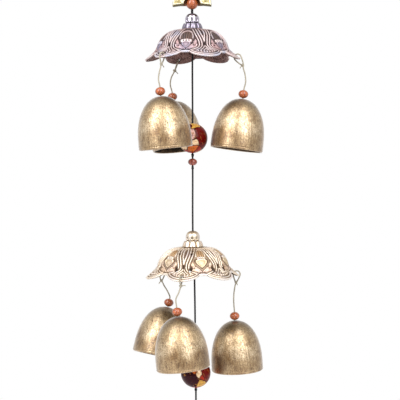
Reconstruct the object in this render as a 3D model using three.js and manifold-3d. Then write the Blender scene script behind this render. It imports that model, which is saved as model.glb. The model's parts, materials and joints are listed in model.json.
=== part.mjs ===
// Wind chime. Two tiers of brass bells hang from pierced lotus caps that are threaded on one
// central cord, with a clapper ball between the bells of each tier and a wind leaf at the bottom.
// Millimetres, +Z up. The origin is the inside top of the hanging ring, where a hook bears on it.

import * as THREE from "three";
import Module from "manifold-3d";
import { mergeVertices } from "three/addons/utils/BufferGeometryUtils.js";

// ---- Driving dimensions ----
const GAP = 0.3; // between two pieces that rest on each other

const MAIN_CORD = 0.8; // radius of the black central cord
const BELL_CORD = 0.6; // radius of the cream cords
const MAIN_BORE = 1.3; // radius of every hole that the central cord runs through
const BELL_BORE = 1.0; // radius of the hole in a bell's bead
const CROWN_BORE = 1.3; // radius of the hole in a bell's crown

const RING_RADIUS = 9; // middle of the ring's wire
const RING_WIRE = 1.2;
const RING_LOOP = 2.6; // radius of the cord's bend round the ring's wire
const RING_KNOT_DROP = 10; // from the ring's wire down to the knot

const SADDLE_TOP = -46; // heights are measured from the origin
const SADDLE_FOOT = -67.8;
const SADDLE_HALF_WIDTH = 16.4;
const SADDLE_DEPTH = 12;
const ARCH_RADIUS = 7; // the gap between the saddle's legs
const PANEL_THICKNESS = 1.6;

const TIER_TOPS = [-73.7, -258]; // top of each tier's finial
const TIER_TURNS = [-10, 15]; // degrees that each cap is turned about the cord
const FINIAL_RADIUS = 5.95;
const FINIAL_HEIGHT = 8.3;
const COLLAR_HEIGHT = 4.9;
const COLLAR_TOP_RADIUS = 7.2;
const COLLAR_FOOT_RADIUS = 8.9;
const COLLAR_PETALS = 8;

const CAP_WALL = 1.4;
const CAP_LOBES = 6;
const LOBE_HALF_ANGLE = 24; // degrees from a lobe's middle to where its edge meets the rim
const LOBE_TIP = [40.6, -25.6]; // radius and height of a lobe's edge, below the cap's top
const RIM_EDGE = [33.4, -21.6]; // the same of the rim between two lobes
const LOBE_SLOPE = [0.714, -0.7]; // the way a lobe runs outwards
const TIP_TO_BAR = 2; // from a lobe's edge to the middle of the bar that a cord hangs on
const BAR_TO_HOLE = 3.1; // from that bar to the cord hole, and the radius of the cord's bend
const CORD_HOLE = 1.6;

const BELL_RADIUS = 22.2;
const BELL_DOME = 37.4; // height of the domed part
const BELL_HEIGHT = 43.3;
const BELL_WALL = 1.6;
const BELL_ROUNDNESS = 2.2; // exponent of the dome's superellipse
const LIP_INWARD = 0.8; // how far the rounded lip turns in
const LIP_HEIGHT = 1.6;
const BELL_BEAD = [4.2, 3.5]; // half width and half height
const BEAD_CLEARANCE = 0.5; // from a bell's crown to the bead above it

const BALL_RADIUS = 12.7;
const BALL_HEIGHTS = [-179.4, -379.4];
const CAP_KNOT = 2.6; // radius of the knot under a cap
const CROWN_SHIFTS = [0, -1.5]; // how far each tier's cap hangs to one side, along X
const CLAPPER_BEAD = [3.9, 3];
const CLAPPER_BEAD_HEIGHT = -199.6;
const LOWER_CORD_SHIFT = -0.2; // where the lower cord leaves the knot under the second cap, along X
const END_BEAD_HEIGHT = -412;
const END_KNOT = 2.2;
const LEAF_THICKNESS = 1.2;
const LEAF_HALF_WIDTH = 11;
const LEAF_LENGTH = 30;
const LEAF_LOOP = 3.1;
const LEAF_EDGE = 1.8; // from the leaf's top edge to the bar that its loop hangs on

// Each bell hangs from the lobe at "lobe" degrees on its cap. "knot" closes the loop through the
// lobe, "strand" is the cord's way down from the knot, "bead" is the middle of the bead on the
// crown, and "mouth" is the middle of the bell's mouth, which gives the bell's lean.
const BELLS = [
  {
    name: "1a", tier: 0, lobe: -10,
    knot: [42.2, -7, -118.6],
    strand: [[44, -7, -126], [44.5, -7, -133]],
    bead: [42.5, -7, -142.9],
    mouth: [36.2, -8.3, -189.5],
  },
  {
    name: "1b", tier: 0, lobe: 110,
    knot: [-16, 36.8, -119.3],
    strand: [[-19.2, 37.4, -125.8], [-20, 38.4, -131.5]],
    bead: [-18.2, 39.5, -141.9],
    mouth: [-13.8, 34.5, -189],
  },
  {
    name: "1c", tier: 0, lobe: 230,
    knot: [-25.6, -30.2, -118.6],
    strand: [[-27.2, -31.2, -125], [-28, -32, -132]],
    bead: [-26.7, -32, -141.3],
    mouth: [-22.6, -31.5, -188.4],
  },
  {
    name: "2a", tier: 1, lobe: 15,
    knot: [35.4, 10.2, -303.2],
    strand: [[34.1, 11, -309], [33.3, 12.4, -319]],
    bead: [34, 13, -332.7],
    mouth: [36.1, 14, -381.1],
  },
  {
    name: "2b", tier: 1, lobe: 135,
    knot: [-29.3, 28.6, -302.8],
    strand: [[-27.1, 30.2, -307.5], [-23.9, 32.4, -313.4]],
    bead: [-23.2, 33, -322.8],
    mouth: [-33, 25.2, -366.2],
  },
  {
    name: "2c", tier: 1, lobe: 255,
    knot: [-11.3, -38, -301.4],
    strand: [[-13.2, -38.1, -307], [-15.5, -38.1, -312]],
    bead: [-14.6, -38, -322.6],
    mouth: [-9.9, -38, -370.3],
  },
];

// ---- Solids ----
const wasm = await Module();
wasm.setup();

const vector = (point) => new THREE.Vector3(...point);
const radians = THREE.MathUtils.degToRad;

// A geometry's shared corners merged, with positions only.
function bare(geometry) {
  geometry.deleteAttribute("normal");
  geometry.deleteAttribute("uv");
  return mergeVertices(geometry, 1e-4);
}

function toSolid(geometry) {
  const merged = bare(geometry);
  return new wasm.Manifold(new wasm.Mesh({
    numProp: 3,
    vertProperties: new Float32Array(merged.attributes.position.array),
    triVerts: new Uint32Array(merged.index.array),
  }));
}

function toGeometry(solid) {
  const { vertProperties, triVerts } = solid.getMesh();
  const geometry = new THREE.BufferGeometry();
  geometry.setAttribute("position", new THREE.BufferAttribute(vertProperties, 3));
  geometry.setIndex(new THREE.BufferAttribute(triVerts, 1));
  return geometry;
}

const join = (first, ...others) =>
  toGeometry(others.reduce((sum, other) => sum.add(toSolid(other)), toSolid(first)));

const cut = (first, ...others) =>
  toGeometry(others.reduce((rest, other) => rest.subtract(toSolid(other)), toSolid(first)));

// A closed ring about Z whose section may change with the angle. A section is a closed list of
// [radius, height], from the bore outwards along the top and back along the underside.
function ringSolid(sectionAt, segments) {
  const corners = [];
  const faces = [];
  const rows = sectionAt(0).length;
  for (let i = 0; i < segments; i++) {
    const angle = (i / segments) * 2 * Math.PI;
    for (const [radius, height] of sectionAt(angle)) {
      corners.push(radius * Math.cos(angle), radius * Math.sin(angle), height);
    }
    for (let j = 0; j < rows; j++) {
      const next = (j + 1) % rows;
      const here = i * rows;
      const there = ((i + 1) % segments) * rows;
      faces.push(here + j, here + next, there + next, here + j, there + next, there + j);
    }
  }
  const geometry = new THREE.BufferGeometry();
  geometry.setAttribute("position", new THREE.Float32BufferAttribute(corners, 3));
  geometry.setIndex(faces);
  return geometry;
}

const turned = (section, segments) => ringSolid(() => section, segments);

// A round bead with a bore along Z.
function beadGeometry([halfWidth, halfHeight], bore, rows, segments) {
  const section = [];
  const first = Math.asin(bore / halfWidth);
  for (let i = 0; i < rows; i++) {
    const angle = THREE.MathUtils.lerp(first, Math.PI - first, i / (rows - 1));
    section.push([halfWidth * Math.sin(angle), halfHeight * Math.cos(angle)]);
  }
  return turned(section, segments);
}

// A round tube along a curve, closed at both ends.
function tubeGeometry(curve, radius, steps, sides = 8) {
  const shape = new THREE.Shape();
  for (let i = 0; i < sides; i++) {
    const angle = (i / sides) * 2 * Math.PI;
    shape[i ? "lineTo" : "moveTo"](radius * Math.cos(angle), radius * Math.sin(angle));
  }
  return new THREE.ExtrudeGeometry(shape, { steps, extrudePath: curve, bevelEnabled: false });
}

const straight = (top, bottom) =>
  new THREE.LineCurve3(onCord(top), onCord(bottom));

// A knot, or a short thick stretch of cord, at a point.
function knotGeometry(radius, at) {
  return new THREE.IcosahedronGeometry(radius, 1).translate(...at);
}

// A cord's loop: round a bar at "bar", in the plane of the bar, the knot and "over", and down to
// the knot that closes it. The bend is a circle about the bar, so the loop can turn on it.
function loopGeometry(bar, knot, over, bend, cordRadius, knotRadius) {
  const down = knot.clone().sub(bar);
  const reach = down.length();
  down.normalize();
  const side = over.clone().sub(bar);
  side.addScaledVector(down, -side.dot(down)).normalize();
  const leave = Math.acos(bend / reach); // where the straight legs leave the circle
  const at = (distance, angle) => bar.clone()
    .addScaledVector(down, distance * Math.cos(angle))
    .addScaledVector(side, distance * Math.sin(angle));
  const points = [at(reach, 0).addScaledVector(side, cordRadius)];
  const stops = 6;
  for (let i = 0; i <= stops; i++) {
    points.push(at(bend, THREE.MathUtils.lerp(leave, 2 * Math.PI - leave, i / stops)));
  }
  points.push(at(reach, 0).addScaledVector(side, -cordRadius));
  const tube = tubeGeometry(new THREE.CatmullRomCurve3(points), cordRadius, 14);
  return join(tube, knotGeometry(knotRadius, knot.toArray()));
}

// ---- Materials ----
const finish = (color, metalness, roughness) =>
  new THREE.MeshStandardMaterial({ color, metalness, roughness });

const materials = {
  brass: finish(0xb9a073, 1, 0.35),
  gilt: finish(0xdccd8c, 1, 0.3),
  mauveCopper: finish(0xaa8c8c, 1, 0.35),
  champagne: finish(0xe6cdaa, 1, 0.3),
  silver: finish(0xb4aac3, 1, 0.2),
  wood: finish(0xb95a37, 0, 0.3),
  darkWood: finish(0x6e3c1e, 0, 0.5),
  redWood: finish(0x78322a, 0, 0.3),
  blackCord: finish(0x1c1a1a, 0, 0.8),
  creamCord: finish(0xd7cdb9, 0, 0.9),
  lacquer: finish(0x6e1914, 0, 0.15),
};

const chime = new THREE.Group();

function add(name, geometry, material, parent = chime) {
  const mesh = new THREE.Mesh(geometry, material);
  mesh.name = name;
  parent.add(mesh);
  return mesh;
}

// A piece threaded on the central cord.
function addAt(name, geometry, material, height, x = cordX(height)) {
  add(name, geometry, material).position.set(x, 0, height);
}

// ---- Hanger: the ring, its cord loop and the bead above the saddle ----
const ringWireFoot = RING_WIRE - 2 * RING_RADIUS; // middle of the wire at the ring's bottom
const topKnot = ringWireFoot - RING_KNOT_DROP;

function addHanger() {
  const ring = new THREE.TorusGeometry(RING_RADIUS, RING_WIRE, 6, 20);
  ring.rotateX(Math.PI / 2).translate(0, 0, RING_WIRE - RING_RADIUS);
  add("hanging_ring", ring, materials.brass);
  const loop = loopGeometry(
    new THREE.Vector3(0, 0, ringWireFoot),
    new THREE.Vector3(0, 0, topKnot),
    new THREE.Vector3(0, 1, ringWireFoot),
    RING_LOOP, MAIN_CORD, END_KNOT,
  );
  add("top_loop", loop, materials.blackCord);
  const bead = beadGeometry(BELL_BEAD, MAIN_BORE, 6, 10);
  addAt("top_bead", bead, materials.wood, SADDLE_TOP + GAP + BELL_BEAD[1]);
}

// ---- Ornament: a gilt saddle on the cord, with a bead between its legs and a wooden back ----
const ornamentBead = 5.1;
const ornamentBeadHeight = SADDLE_FOOT + ARCH_RADIUS + 0.6 - GAP - ornamentBead;

function saddleShape() {
  const archTop = SADDLE_FOOT + ARCH_RADIUS + 0.6;
  const springing = archTop - ARCH_RADIUS;
  const shape = new THREE.Shape();
  shape.moveTo(-SADDLE_HALF_WIDTH, SADDLE_FOOT);
  shape.lineTo(-ARCH_RADIUS, SADDLE_FOOT);
  shape.lineTo(-ARCH_RADIUS, springing);
  shape.absarc(0, springing, ARCH_RADIUS, Math.PI, 0, true);
  shape.lineTo(ARCH_RADIUS, SADDLE_FOOT);
  shape.lineTo(SADDLE_HALF_WIDTH, SADDLE_FOOT);
  shape.lineTo(SADDLE_HALF_WIDTH - 1, -57);
  shape.quadraticCurveTo(SADDLE_HALF_WIDTH - 1.5, -50, 5, SADDLE_TOP);
  shape.lineTo(-5, SADDLE_TOP);
  shape.quadraticCurveTo(1.5 - SADDLE_HALF_WIDTH, -50, 1 - SADDLE_HALF_WIDTH, -57);
  return shape;
}

// A flat outline in X and Z, given a thickness along Y between two depths.
function plate(shape, front, back, curveSegments = 5) {
  const geometry = new THREE.ExtrudeGeometry(shape, {
    depth: back - front, bevelEnabled: false, curveSegments,
  });
  return geometry.rotateX(Math.PI / 2).translate(0, back, 0);
}

function boreAlongZ(radius, top, bottom) {
  const bore = new THREE.CylinderGeometry(radius, radius, top - bottom, 12);
  return bore.rotateX(Math.PI / 2).translate(0, 0, (top + bottom) / 2);
}

function addOrnament() {
  const half = SADDLE_DEPTH / 2;
  const saddle = plate(saddleShape(), -half, half);
  const bored = cut(saddle, boreAlongZ(MAIN_BORE, SADDLE_TOP + 1, SADDLE_FOOT));
  add("ornament_saddle", bored, materials.gilt);
  const panelHeight = 16;
  const panel = new THREE.BoxGeometry(2 * ARCH_RADIUS + 8, PANEL_THICKNESS, panelHeight);
  const panelDepth = half + GAP + PANEL_THICKNESS / 2;
  panel.translate(0, panelDepth, SADDLE_FOOT + 1 + panelHeight / 2);
  add("ornament_panel", panel, materials.darkWood);
  const bead = beadGeometry([ornamentBead, ornamentBead], MAIN_BORE, 7, 12);
  addAt("ornament_bead", bead, materials.wood, ornamentBeadHeight);
}

// ---- Tiers: finial, petal collar and lotus cap, threaded on the cord ----
const capTop = (tier) => TIER_TOPS[tier] - FINIAL_HEIGHT - COLLAR_HEIGHT - 2 * GAP;

function finialGeometry() {
  const cylinder = 3.4; // height of the straight part under the dome
  const dome = FINIAL_HEIGHT - cylinder;
  const section = [[MAIN_BORE, 0], [MAIN_BORE, FINIAL_HEIGHT * 0.995]];
  for (const angle of [22, 45, 68, 90]) {
    section.push([FINIAL_RADIUS * Math.sin(radians(angle)), cylinder + dome * Math.cos(radians(angle))]);
  }
  section.push([FINIAL_RADIUS, 0]);
  return turned(section, 16);
}

function collarGeometry() {
  const fluted = (radius, angle) =>
    radius * (0.9 + 0.1 * Math.abs(Math.cos((COLLAR_PETALS / 2) * angle)));
  const sectionAt = (angle) => [
    [MAIN_BORE, 0],
    [MAIN_BORE, COLLAR_HEIGHT],
    [fluted(COLLAR_TOP_RADIUS - 1, angle), COLLAR_HEIGHT],
    [fluted(COLLAR_TOP_RADIUS, angle), COLLAR_HEIGHT - 1],
    [fluted(COLLAR_FOOT_RADIUS, angle), 0],
  ];
  return ringSolid(sectionAt, 3 * COLLAR_PETALS);
}

// How far the rim flares into a lobe at an angle, from 0 between lobes to 1 at a lobe's middle.
function flareAt(angle) {
  const spacing = (2 * Math.PI) / CAP_LOBES;
  const away = Math.abs(angle - spacing * Math.round(angle / spacing));
  const share = away / radians(LOBE_HALF_ANGLE);
  return share < 1 ? Math.cos((share * Math.PI) / 2) ** 0.7 : 0;
}

// The cap's outer line from the bore to the rim: [radius, height, and the flare's share of each].
const CAP_LINE = [
  [MAIN_BORE + 0.3, 0],
  [13, -0.5],
  [19.6, -2.1],
  [25.4, -6.5],
  [28.8, -11.4],
  [31, -17],
  [32, -19.6, 3.3, -1.5],
  [RIM_EDGE[0], RIM_EDGE[1], LOBE_TIP[0] - RIM_EDGE[0], LOBE_TIP[1] - RIM_EDGE[1]],
];

function capSection(angle) {
  const flare = flareAt(angle);
  const line = CAP_LINE.map(([radius, height, out = 0, down = 0]) =>
    new THREE.Vector2(radius + flare * out, height + flare * down));
  const underside = line.map((point, i) => {
    const before = line[Math.max(i - 1, 0)];
    const after = line[Math.min(i + 1, line.length - 1)];
    const along = after.clone().sub(before).normalize();
    return new THREE.Vector2(point.x + along.y * CAP_WALL, point.y - along.x * CAP_WALL);
  });
  return [...line, ...underside.reverse()].map((point) => point.toArray());
}

// Radius and height, below the cap's top, of the bar that a cord hangs on, in mid wall.
const barPlace = [
  LOBE_TIP[0] - TIP_TO_BAR * LOBE_SLOPE[0] + (CAP_WALL / 2) * LOBE_SLOPE[1],
  LOBE_TIP[1] - TIP_TO_BAR * LOBE_SLOPE[1] - (CAP_WALL / 2) * LOBE_SLOPE[0],
];
const holePlace = barPlace.map((value, i) => value - BAR_TO_HOLE * LOBE_SLOPE[i]);

// A point of a cap, given as radius and height, at an angle in degrees round the cap's middle.
function onCap([radius, height], degrees, tier) {
  const angle = radians(degrees);
  const point = new THREE.Vector3(radius * Math.cos(angle), radius * Math.sin(angle), height);
  return point.add(new THREE.Vector3(crownX(tier), 0, capTop(tier)));
}

function cordHole(degrees) {
  const hole = new THREE.CylinderGeometry(CORD_HOLE, CORD_HOLE, 4 * CAP_WALL, 12);
  hole.rotateZ(-Math.atan2(-LOBE_SLOPE[1], LOBE_SLOPE[0])); // along the wall's normal, in X and Y
  hole.rotateX(Math.PI / 2);
  hole.translate(holePlace[0], 0, holePlace[1]);
  return hole.rotateZ(radians(degrees));
}

function addTier(tier, metal, capMetal) {
  const number = tier + 1;
  const top = TIER_TOPS[tier];
  const x = crownX(tier);
  addAt(`bud_finial_${number}`, finialGeometry(), metal, top - FINIAL_HEIGHT, x);
  const collarFoot = top - FINIAL_HEIGHT - GAP - COLLAR_HEIGHT;
  addAt(`petal_collar_${number}`, collarGeometry(), metal, collarFoot, x);
  const cap = cut(ringSolid(capSection, 6 * CAP_LOBES), cordHole(0), cordHole(120), cordHole(240));
  const mesh = add(`lotus_cap_${number}`, cap, capMetal);
  mesh.position.set(x, 0, capTop(tier));
  mesh.rotation.z = radians(TIER_TURNS[tier]);
}

// ---- Central cord, in the lengths between its knots, and what is threaded on it ----
const capKnot = (tier) => capTop(tier) - CAP_WALL - GAP - CAP_KNOT;
const ballKnot = 1.5;
const underBall = (tier) => BALL_HEIGHTS[tier] - BALL_RADIUS - GAP - ballKnot;
const endKnot = END_BEAD_HEIGHT - BELL_BEAD[1] - GAP - END_KNOT;

// The cord's bends, under the knots, as height and distance along X.
const cordBends = [
  [0, 0],
  ...CROWN_SHIFTS.map((shift, tier) => [capKnot(tier) - CAP_KNOT - GAP / 2, shift]),
  [capKnot(1) - CAP_KNOT - GAP, LOWER_CORD_SHIFT],
  [endKnot, 0],
];

// The central cord's distance along X at a height.
function cordX(height) {
  const next = cordBends.findIndex(([bend]) => bend <= height);
  if (next < 1) return 0;
  const [above, aboveX] = cordBends[next - 1];
  const [below, belowX] = cordBends[next];
  return THREE.MathUtils.mapLinear(height, above, below, aboveX, belowX);
}

const onCord = (height) => new THREE.Vector3(cordX(height), 0, height);
const crownX = (tier) => cordX((TIER_TOPS[tier] + capTop(tier)) / 2);
const knotOn = (radius, height) => knotGeometry(radius, onCord(height).toArray());

function addCords() {
  const doubled = 1.15; // radius of the doubled cord between the ornament's bead and the finial
  const doubledTop = ornamentBeadHeight - ornamentBead - GAP;
  add("upper_cord", join(
    tubeGeometry(straight(topKnot - END_KNOT - GAP, capKnot(0)), MAIN_CORD, 4),
    tubeGeometry(straight(doubledTop, TIER_TOPS[0] + GAP), doubled, 1),
    knotOn(CAP_KNOT, capKnot(0)),
  ), materials.blackCord);
  add("middle_cord", join(
    tubeGeometry(straight(capKnot(0) - CAP_KNOT - GAP, capKnot(1)), MAIN_CORD, 8),
    knotOn(ballKnot, underBall(0)),
    knotOn(ballKnot, CLAPPER_BEAD_HEIGHT - CLAPPER_BEAD[1] - GAP - ballKnot),
    knotOn(CAP_KNOT, capKnot(1)),
  ), materials.blackCord);
  add("lower_cord", join(
    tubeGeometry(straight(capKnot(1) - CAP_KNOT - GAP, endKnot + END_KNOT + GAP), MAIN_CORD, 6),
    knotOn(ballKnot, underBall(1)),
  ), materials.blackCord);
}

function addClappers() {
  const ball = () => beadGeometry([BALL_RADIUS, BALL_RADIUS], MAIN_BORE, 11, 16);
  addAt("clapper_ball_1", ball(), materials.lacquer, BALL_HEIGHTS[0]);
  addAt("clapper_ball_2", ball(), materials.lacquer, BALL_HEIGHTS[1]);
  const bead = beadGeometry(CLAPPER_BEAD, MAIN_BORE, 6, 10);
  addAt("clapper_bead_1", bead, materials.redWood, CLAPPER_BEAD_HEIGHT);
  addAt("end_bead", beadGeometry(BELL_BEAD, MAIN_BORE, 6, 10), materials.wood, END_BEAD_HEIGHT);
}

// ---- Wind leaf: a thin brass leaf in a cord loop at the bottom ----
const leafBar = endKnot - 9;

function leafShape() {
  const top = leafBar + LEAF_EDGE;
  const shape = new THREE.Shape();
  shape.moveTo(-3, top);
  shape.bezierCurveTo(-LEAF_HALF_WIDTH - 3, top - 3, -LEAF_HALF_WIDTH, top - 17, 0, top - LEAF_LENGTH);
  shape.bezierCurveTo(LEAF_HALF_WIDTH, top - 17, LEAF_HALF_WIDTH + 3, top - 3, 3, top);
  return shape;
}

function addWindLeaf() {
  const loop = loopGeometry(
    new THREE.Vector3(0, 0, leafBar),
    new THREE.Vector3(0, 0, endKnot),
    new THREE.Vector3(0, 1, leafBar),
    LEAF_LOOP, MAIN_CORD, END_KNOT,
  );
  add("end_loop", loop, materials.blackCord);
  const shape = leafShape();
  const hole = new THREE.Path();
  hole.absarc(0, leafBar - LEAF_LOOP, MAIN_BORE, 0, 2 * Math.PI, true);
  shape.holes.push(hole);
  add("wind_leaf", plate(shape, -LEAF_THICKNESS / 2, LEAF_THICKNESS / 2, 8), materials.brass);
}

// ---- Bells ----
// Its own origin is the middle of the crown's hole, and its mouth is straight below.
function bellGeometry() {
  const dome = (radius, height, degrees) => [
    radius * Math.sin(radians(degrees)) ** (2 / BELL_ROUNDNESS),
    height * Math.cos(radians(degrees)) ** (2 / BELL_ROUNDNESS) - BELL_DOME + BELL_WALL / 2,
  ];
  const foot = BELL_WALL / 2 - BELL_HEIGHT;
  const section = [[CROWN_BORE, -BELL_WALL / 2]];
  for (const degrees of [14, 40, 66]) {
    section.push(dome(BELL_RADIUS - BELL_WALL, BELL_DOME - BELL_WALL, degrees));
  }
  section.push([BELL_RADIUS - BELL_WALL, BELL_WALL / 2 - BELL_DOME]);
  section.push([BELL_RADIUS - BELL_WALL - LIP_INWARD / 2, foot]);
  section.push([BELL_RADIUS - LIP_INWARD, foot]);
  section.push([BELL_RADIUS - 0.1, foot + LIP_HEIGHT]);
  for (const degrees of [90, 70, 51, 33, 15]) {
    section.push(dome(BELL_RADIUS, BELL_DOME, degrees));
  }
  section.push([CROWN_BORE, BELL_WALL / 2]);
  return turned(section.reverse(), 18);
}

function addBell({ name, tier, lobe, knot, strand, bead, mouth }) {
  const knotRadius = 1.6;
  const place = new THREE.Group();
  const axis = vector(mouth).sub(vector(bead)).normalize();
  const crown = vector(bead).addScaledVector(axis, BELL_BEAD[1] + BEAD_CLEARANCE + BELL_WALL / 2);
  place.position.copy(crown);
  place.quaternion.setFromUnitVectors(new THREE.Vector3(0, 0, -1), axis);
  chime.add(place);
  add(`bell_${name}`, bellGeometry(), materials.brass, place);
  const beadMesh = add(`bell_bead_${name}`, beadGeometry(BELL_BEAD, BELL_BORE, 6, 10), materials.wood, place);
  beadMesh.position.z = BELL_WALL / 2 + BEAD_CLEARANCE + BELL_BEAD[1];

  const bar = onCap(barPlace, lobe, tier);
  const hole = onCap(holePlace, lobe, tier);
  const loop = loopGeometry(bar, vector(knot), hole, BAR_TO_HOLE, BELL_CORD, knotRadius);
  add(`bell_loop_${name}`, loop, materials.creamCord);

  // The strand leaves the knot, and runs along the bell's axis through the bead and the crown.
  const onAxis = (distance) => crown.clone().addScaledVector(axis, distance);
  const stopper = onAxis(BELL_WALL / 2 + GAP + knotRadius);
  const first = vector(strand[0]).sub(vector(knot)).normalize();
  const start = vector(knot).addScaledVector(first, knotRadius + GAP);
  const beadTop = -(BELL_WALL / 2 + BEAD_CLEARANCE + 2 * BELL_BEAD[1]);
  const route = new THREE.CatmullRomCurve3([
    start, ...strand.map(vector), onAxis(beadTop - 1), onAxis(beadTop + 2), onAxis(beadTop + 4), stopper,
  ]);
  const cord = tubeGeometry(route, BELL_CORD, 12);
  add(`bell_cord_${name}`, join(cord, knotGeometry(knotRadius, stopper.toArray())), materials.creamCord);
}

addHanger();
addOrnament();
addTier(0, materials.silver, materials.mauveCopper);
addTier(1, materials.champagne, materials.champagne);
addCords();
addClappers();
addWindLeaf();
BELLS.forEach(addBell);

export default chime;
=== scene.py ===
"""The looks of a two-tier wind chime: brass bells under two pierced lotus caps on one black cord.

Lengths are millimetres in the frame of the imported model, whose origin is the inside top of the
hanging ring, with Z up. They become metres when a mesh is made. Colours are 0 to 255.
"""

import json
import math
from types import SimpleNamespace

import bmesh
import bpy
import numpy as np
from mathutils import Matrix, Vector
from mathutils.geometry import delaunay_2d_cdt
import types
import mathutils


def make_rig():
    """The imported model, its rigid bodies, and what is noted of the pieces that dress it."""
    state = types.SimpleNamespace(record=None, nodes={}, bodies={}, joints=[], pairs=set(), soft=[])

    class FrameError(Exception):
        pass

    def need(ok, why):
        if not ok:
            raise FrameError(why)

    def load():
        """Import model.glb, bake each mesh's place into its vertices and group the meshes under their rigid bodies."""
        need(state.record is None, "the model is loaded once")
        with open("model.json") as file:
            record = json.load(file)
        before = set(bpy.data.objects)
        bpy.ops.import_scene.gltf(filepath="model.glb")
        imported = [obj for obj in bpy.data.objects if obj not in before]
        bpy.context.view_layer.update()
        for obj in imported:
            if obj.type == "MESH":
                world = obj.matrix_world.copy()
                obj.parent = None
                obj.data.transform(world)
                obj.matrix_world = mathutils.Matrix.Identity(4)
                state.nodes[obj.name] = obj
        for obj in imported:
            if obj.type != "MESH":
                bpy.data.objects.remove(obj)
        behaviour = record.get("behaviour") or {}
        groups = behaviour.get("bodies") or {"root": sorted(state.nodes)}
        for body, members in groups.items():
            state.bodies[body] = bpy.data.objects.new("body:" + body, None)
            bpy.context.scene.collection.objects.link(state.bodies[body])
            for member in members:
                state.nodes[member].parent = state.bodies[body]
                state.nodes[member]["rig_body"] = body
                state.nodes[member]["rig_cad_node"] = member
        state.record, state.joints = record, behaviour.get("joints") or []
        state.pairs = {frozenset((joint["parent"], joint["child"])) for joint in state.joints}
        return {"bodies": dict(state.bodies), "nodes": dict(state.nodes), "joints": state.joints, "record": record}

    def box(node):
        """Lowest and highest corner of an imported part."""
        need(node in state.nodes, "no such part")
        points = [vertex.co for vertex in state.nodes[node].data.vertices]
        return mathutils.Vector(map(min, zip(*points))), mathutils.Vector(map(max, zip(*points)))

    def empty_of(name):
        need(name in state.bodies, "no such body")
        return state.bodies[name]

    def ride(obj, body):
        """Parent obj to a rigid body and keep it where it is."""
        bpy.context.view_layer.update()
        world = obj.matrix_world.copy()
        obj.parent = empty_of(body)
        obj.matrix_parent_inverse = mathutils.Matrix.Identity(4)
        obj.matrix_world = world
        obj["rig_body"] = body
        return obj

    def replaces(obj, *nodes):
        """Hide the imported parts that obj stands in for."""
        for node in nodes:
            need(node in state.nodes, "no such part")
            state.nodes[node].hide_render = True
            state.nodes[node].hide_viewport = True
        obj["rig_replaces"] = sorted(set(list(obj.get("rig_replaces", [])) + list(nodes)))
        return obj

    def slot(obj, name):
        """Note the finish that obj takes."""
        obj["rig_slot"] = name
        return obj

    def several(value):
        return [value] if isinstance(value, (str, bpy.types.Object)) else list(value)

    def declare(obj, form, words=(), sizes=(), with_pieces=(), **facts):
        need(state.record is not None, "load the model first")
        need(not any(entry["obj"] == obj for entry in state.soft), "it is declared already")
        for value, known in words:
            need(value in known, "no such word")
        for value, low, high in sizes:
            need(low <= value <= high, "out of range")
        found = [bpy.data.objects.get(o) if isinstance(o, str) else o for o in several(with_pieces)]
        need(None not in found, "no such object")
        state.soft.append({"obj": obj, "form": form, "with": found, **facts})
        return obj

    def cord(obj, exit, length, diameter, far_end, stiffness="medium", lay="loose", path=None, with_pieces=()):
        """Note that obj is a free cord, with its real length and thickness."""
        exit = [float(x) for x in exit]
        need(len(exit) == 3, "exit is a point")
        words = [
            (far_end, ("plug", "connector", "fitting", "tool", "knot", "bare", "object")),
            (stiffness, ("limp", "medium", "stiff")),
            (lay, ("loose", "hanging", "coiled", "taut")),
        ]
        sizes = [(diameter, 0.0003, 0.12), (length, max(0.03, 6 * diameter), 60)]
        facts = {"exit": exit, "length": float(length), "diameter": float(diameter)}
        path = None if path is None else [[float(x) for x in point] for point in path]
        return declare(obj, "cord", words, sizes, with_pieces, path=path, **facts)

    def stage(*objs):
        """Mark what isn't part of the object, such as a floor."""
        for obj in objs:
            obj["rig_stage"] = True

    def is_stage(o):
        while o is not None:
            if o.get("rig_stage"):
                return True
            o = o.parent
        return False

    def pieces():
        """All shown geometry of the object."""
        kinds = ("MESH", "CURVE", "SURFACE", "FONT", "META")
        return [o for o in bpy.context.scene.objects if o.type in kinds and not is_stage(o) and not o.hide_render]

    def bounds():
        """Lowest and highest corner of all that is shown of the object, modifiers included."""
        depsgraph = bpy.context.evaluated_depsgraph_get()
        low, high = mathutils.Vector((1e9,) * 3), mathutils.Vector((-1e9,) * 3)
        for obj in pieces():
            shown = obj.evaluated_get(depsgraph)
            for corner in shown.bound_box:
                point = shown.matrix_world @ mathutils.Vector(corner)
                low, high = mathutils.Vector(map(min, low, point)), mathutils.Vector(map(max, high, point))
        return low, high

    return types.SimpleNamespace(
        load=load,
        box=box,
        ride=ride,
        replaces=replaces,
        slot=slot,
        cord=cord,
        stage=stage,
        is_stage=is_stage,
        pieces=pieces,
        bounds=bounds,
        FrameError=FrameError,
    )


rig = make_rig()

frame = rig.load()
cad_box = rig.bounds()

MM = 0.001
TURN = 2 * math.pi

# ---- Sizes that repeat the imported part's ----
MAIN_CORD = 0.8  # radius of the black central cord
BELL_CORD = 0.6  # radius of the cream cords
MAIN_BORE = 1.3
BELL_BORE = 1.0

RING_RADIUS = 9
RING_WIRE = 1.2
RING_LOOP = 2.6
RING_FOOT = RING_WIRE - 2 * RING_RADIUS
END_KNOT = 2.2
TOP_KNOT_Z = RING_FOOT - 10

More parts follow.
